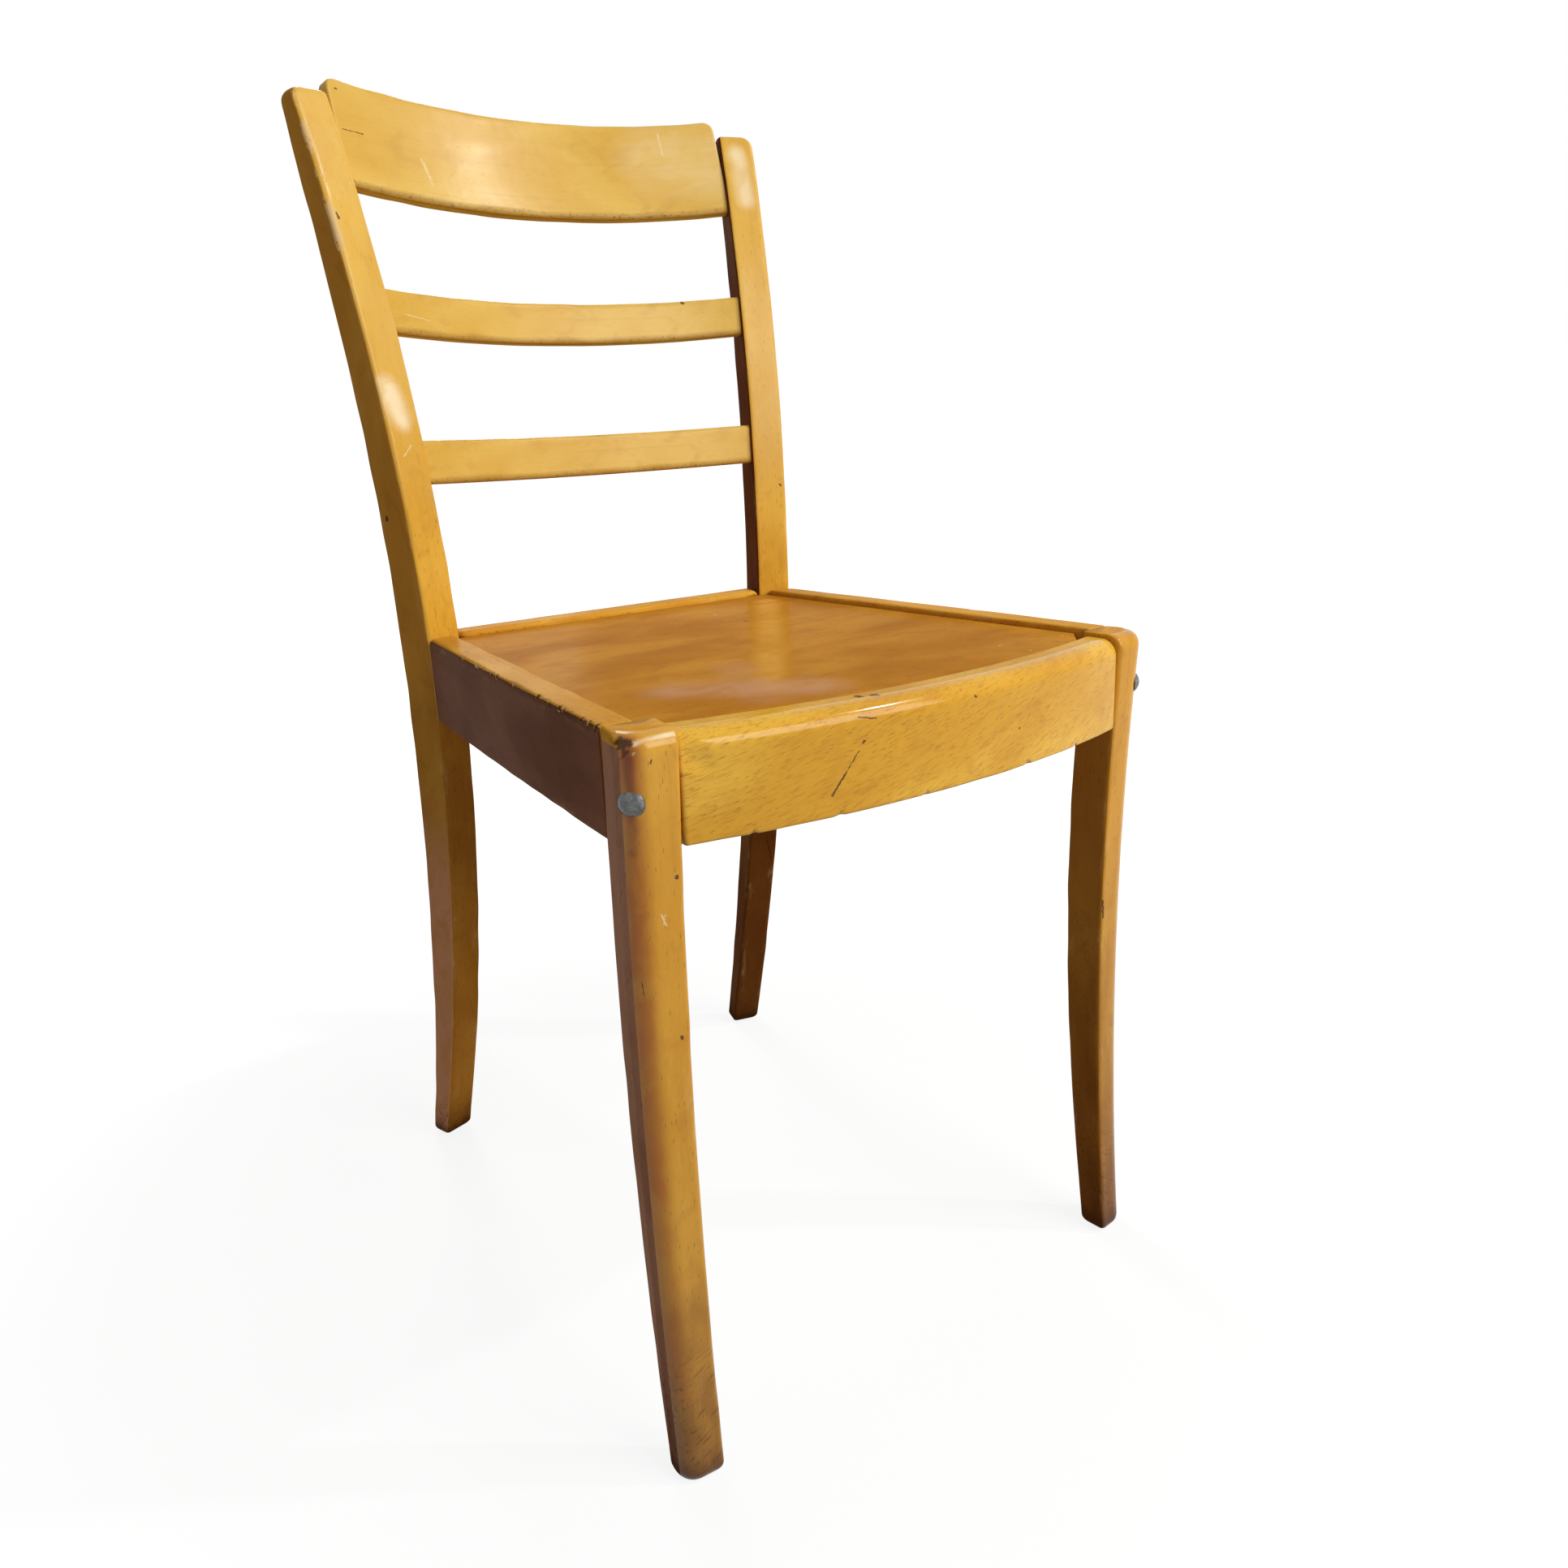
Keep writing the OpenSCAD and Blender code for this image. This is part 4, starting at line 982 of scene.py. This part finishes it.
# stains along the round corner and dirt on the foot, and the glare line is a painted highlight on the top
# front edge
LEG_L_SOFT = placed(
    leg_l,
    (STAIN, 1.0, (4.5, 455, 4.5), (4.5, 330, 4.5), 12),
    (BURNT, 0.9, (5.5, 444, 4.5), (6.5, 395, 5), 4.5),
    (STAIN, 0.9, (4.5, 330, 4.5), (4.5, 200, 4.5), 11),
    (STAIN, 0.7, (4.5, 200, 4.5), (4.5, 60, 3.5), 11),
    (GLARE, 0.95, (9, 451.5, 4), (30.5, 453.5, 3.5), 2.4),
    (FOOT_SMEAR, 0.5, (13.5, 0, 6.5), (15.5, 110, -2), 30))
# a painted highlight near the crest's right end
CREST_SOFT = placed(crest.on_front, (GLARE, 0.3, (105, 8.5), (150, 3), 45))
# painted reflections on the seat: a light band and two hazes
PANEL_SOFT = placed(
    on_panel,
    (REFLECTED_BAND, 0.6, (120, 103), (-70, -165), 16),
    (REFLECTED_HAZE, 0.7, (-111.5, -134.5), (-52.5, -180.5), 34),
    (REFLECTED_HAZE, 0.3, (-52, -100), (-90, -190), 22))


# ---- build
def tones(*colours):
    return [srgb(*c) for c in colours]


HONEY = tones((230, 178, 62), (218, 162, 48), (182, 120, 30))
GOLD = tones((228, 170, 54), (214, 152, 38), (176, 110, 24))
CREST = tones((232, 192, 96), (222, 176, 74), (194, 142, 52))
RAIL = tones((236, 184, 60), (220, 162, 40), (186, 120, 24))
EDGE = tones((232, 174, 64), (218, 154, 50), (180, 110, 32))
# painted shade: this amber is a darker copy of the wood for sides in shade and for the feet under the seat
SHADED_AMBER = tones((214, 152, 60), (200, 136, 50), (168, 106, 34))
PLY = tones((208, 144, 46), (190, 124, 34), (160, 98, 26))
# painted shade: these four are darker or rosier copies of the wood for sides in shade and for the feet
# under the seat
SHADED_BROWN = tones((132, 82, 54), (114, 68, 44), (90, 50, 32))
SHADED_ROSY = tones((190, 138, 110), (174, 122, 94), (142, 96, 72))
SHADED_DUSKY = tones((178, 124, 62), (160, 108, 52), (134, 88, 38))
SHADY = tones((112, 60, 20), (96, 48, 12), (74, 36, 8))

post_l_mats = [
    wood("post_left", HONEY, 0.11, marks=POST_L_MARKS, soft=POST_L_SOFT),
    # painted shade: a darker copy for the left post's outer side
    wood("post_left_shaded_side", SHADED_AMBER, 0.13, gloss=0.4, ior=1.04, face=0, marks=POST_L_SIDE_MARKS,
         soft=POST_L_SIDE_SOFT),
    # painted shade: a darker copy for the front and inner sides below the seat
    wood("rear_foot_left_shaded", SHADED_AMBER, 0.25, gloss=0.4, ior=1.02)]
post_r_mats = [
    wood("post_right", HONEY, 0.21, marks=POST_R_MARKS, soft=POST_R_SOFT),
    # painted shade: a dark copy for the right post's inner side
    wood("post_right_shaded_side", SHADY, 0.23, gloss=0.45, ior=1.03),
    # painted shade: a darker copy for the front and inner sides below the seat
    wood("rear_foot_right_shaded", SHADED_DUSKY, 0.27, gloss=0.4, ior=1.02, marks=POST_R_MARKS)]
# the leg tops, and painted light: lighter strips on sides beside the rail and at the top
m_leg_top_and_lit = wood("leg_tops_and_lit_strips", EDGE, 0.45, ior=1.025)
leg_l_mats = [
    wood("leg_left", GOLD, 0.31, gloss=0.08, ior=1.33, fleck=0.25, marks=LEG_L_MARKS, soft=LEG_L_SOFT),
    # painted shade: a rosy, darker copy for the left leg's outer side
    wood("leg_left_shaded_side", SHADED_ROSY, 0.33, gloss=0.45, ior=1.03, fleck=0.35),
    m_leg_top_and_lit]
leg_r_mats = [
    wood("leg_right", GOLD, 0.41, gloss=0.1, marks=LEG_R_MARKS),
    # painted shade: a darker copy for the right leg's inner side
    wood("leg_right_shaded_inner", SHADED_AMBER, 0.43, gloss=0.4, ior=1.08),
    m_leg_top_and_lit]
m_crest = wood("crest", CREST, 0.51, gloss=0.24, ior=1.25, marks=CREST_MARKS, soft=CREST_SOFT)
m_slat = wood("slats", CREST, 0.61, gloss=0.24, ior=1.25, marks=SLAT_MARKS)
m_under = wood("under", HONEY, 0.63, gloss=0.5, ior=1.05)
front_mats = [
    wood("front_rail", RAIL, 0.71, gloss=0.07, ior=1.3, fleck=0.16, grainy=0.5, ripple=0.12,
         slant=RAD(16), marks=FRONT_MARKS),
    wood("front_rail_top", HONEY, 0.73, ior=1.05, fleck=0.16, grainy=0.3, slant=RAD(16),
         marks=FRONT_MARKS)]
m_side = wood("side_rail", EDGE, 0.81, ior=1.025)
# painted shade: a brown copy for the left rail's outer face
m_side_shaded_out = wood("side_rail_shaded_outer", SHADED_BROWN, 0.83, gloss=0.45, ior=1.06)
m_panel = wood("panel", PLY, 0.91, gloss=0.16, ior=1.015, fleck=0.12, streaky=0.05, face=2,
               marks=PANEL_MARKS, soft=PANEL_SOFT)

post(-1, post_l_mats, (0, 1, 0, 0))
post(1, post_r_mats, (0, 0, 0, 1))
leg(-1, leg_l_mats, (1, 0, 0, 0))
leg(1, leg_r_mats, (0, 0, 1, 0))
crest.build("crest_rail", CREST_H, CREST_T, [m_crest, m_under], (2.6, 2.8, 3.0, 2.8), 150,
            on_post(1, 0, POST_H)[0] - 0.2, 8.0)
for node, slat, seed in (("middle_slat", middle_slat, 160), ("lower_slat", lower_slat, 170)):
    slat.build(node, SLAT_H, SLAT_T, [m_slat, m_under], (2.6, 2.6, 3.0, 3.0), seed, slat.half + 6.0)

# many chips of chance sizes along the left rail, most and deepest near its front end
rand = np.random.RandomState(11)
left_chips = [(314 - 250 * f, 0.8 + 4.2 * a * b, 0.15 + 1.0 * a * (1 - 0.75 * f))
              for f, a, b in zip(rand.rand(26) ** 1.5, rand.rand(26), rand.rand(26))]
side_rail(-1, [m_side, m_side_shaded_out], left_chips, (1, 0, 0, 0, 0, 0))
side_rail(1, [m_side], [(120, 4, 0.8), (205, 5, 0.9)])
rear_rail([m_side])
front_rail(front_mats)
panel([m_panel])
m_steel, m_bare = old_steel(), bare_wood()
bolt(-1, [m_steel])
bolt(1, [m_steel])
for mat, nodes in ((m_bare, ("corner_block_left", "corner_block_right", "rail_dowels")),
                   (m_steel, ("bolt_washers", "bolt_nuts", "block_screws"))):
    for node in nodes:
        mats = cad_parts[node].data.materials
        mats.clear()
        mats.append(mat)


# ---- studio
def light(name, at, aim, power, width, height, colour=(1, 1, 1)):
    """A soft rectangular lamp at one place, turned towards another."""
    lamp = bpy.data.lights.new(name, "AREA")
    lamp.energy, lamp.color = power, colour
    lamp.shape = "RECTANGLE"
    lamp.size, lamp.size_y = width, height
    ob = new_object(name, lamp)
    ob.location = at
    ob.rotation_mode = "QUATERNION"
    ob.rotation_quaternion = (Vector(aim) - Vector(at)).to_track_quat("-Z", "Y")


def seen(t):
    """1 for the camera's, glossy and see-through rays, 0 for the rest."""
    rays = t.node("LightPath").outputs
    return t.most(t.most(rays["Is Camera Ray"], rays["Is Glossy Ray"]), rays["Is Transmission Ray"])


# a pale floor that fades into the white backdrop away from the chair, and bounces some light
t = Tree(bpy.data.materials.new("floor"))
away = t.vmath("LENGTH", t.node("TexCoord").outputs["Object"])
white = t.mul(seen(t), t.remap(away, 0.3, 1.3, 0.86, 1.1))
glow = t.made(t.node("Emission"), 0, Color=(1, 1, 1, 1), Strength=t.most(white, 0.22))
both = t.node("AddShader")
t.put(both.inputs[0], t.made(t.node("BsdfDiffuse"), 0, Color=(0.16, 0.16, 0.16, 1)))
t.put(both.inputs[1], glow)
t.put(t.node("OutputMaterial").inputs[0], both.outputs[0])
me = bpy.data.meshes.new("floor")
me.from_pydata([(-30, -30, 0), (30, -30, 0), (30, 30, 0), (-30, 30, 0)], [], [(0, 1, 2, 3)])
me.materials.append(t.owner)
floor = new_object("floor", me)

# a world that is white to look at and lights the chair weakly
t = Tree(bpy.data.worlds.new("studio"))
bpy.context.scene.world = t.owner
strength = t.remap(seen(t), 0, 1, 0.24, 1.0, kind="LINEAR")
sky = t.made(t.node("Background"), 0, Color=(1, 1, 1, 1), Strength=strength)
t.put(t.node("OutputWorld").inputs[0], sky)

light("softbox", (0.9, -2.3, 1.7), (0, 0, 0.45), 50, 1.7, 1.3, (1.0, 0.98, 0.95))
light("kicker", (1.6, -1.4, 2.7), (0, -0.1, 0.45), 24, 0.12, 0.12)
light("rim", (0.35, 1.6, 2.0), (0, -0.1, 0.5), 5, 0.25, 0.25)
light("backlight", (0.5, 2.4, 1.5), (0, 0.1, 0.5), 18, 1.2, 1.2)

# ---- camera
SENSOR, LENS = 36.0, 27.808  # mm
STAND = (-0.4653, -0.7206, 0.6042)  # metres
YAW, PITCH, ROLL = RAD(35.89), RAD(17.19), RAD(-2.18)
ahead = np.array([sin(YAW) * cos(PITCH), cos(YAW) * cos(PITCH), -sin(PITCH)])
level = np.array([cos(YAW), -sin(YAW), 0.0])
upright = np.cross(level, ahead)
right = level * cos(ROLL) + upright * sin(ROLL)
up = upright * cos(ROLL) - level * sin(ROLL)
lens = bpy.data.cameras.new("camera")
lens.sensor_width, lens.lens = SENSOR, LENS
lens.clip_start, lens.clip_end = 0.05, 100
camera = new_object("camera", lens)
camera.matrix_world = Matrix([*zip(right, up, -ahead, STAND), (0, 0, 0, 1)])
bpy.context.scene.camera = camera
bpy.context.scene.view_settings.view_transform = "Standard"

bpy.context.view_layer.update()
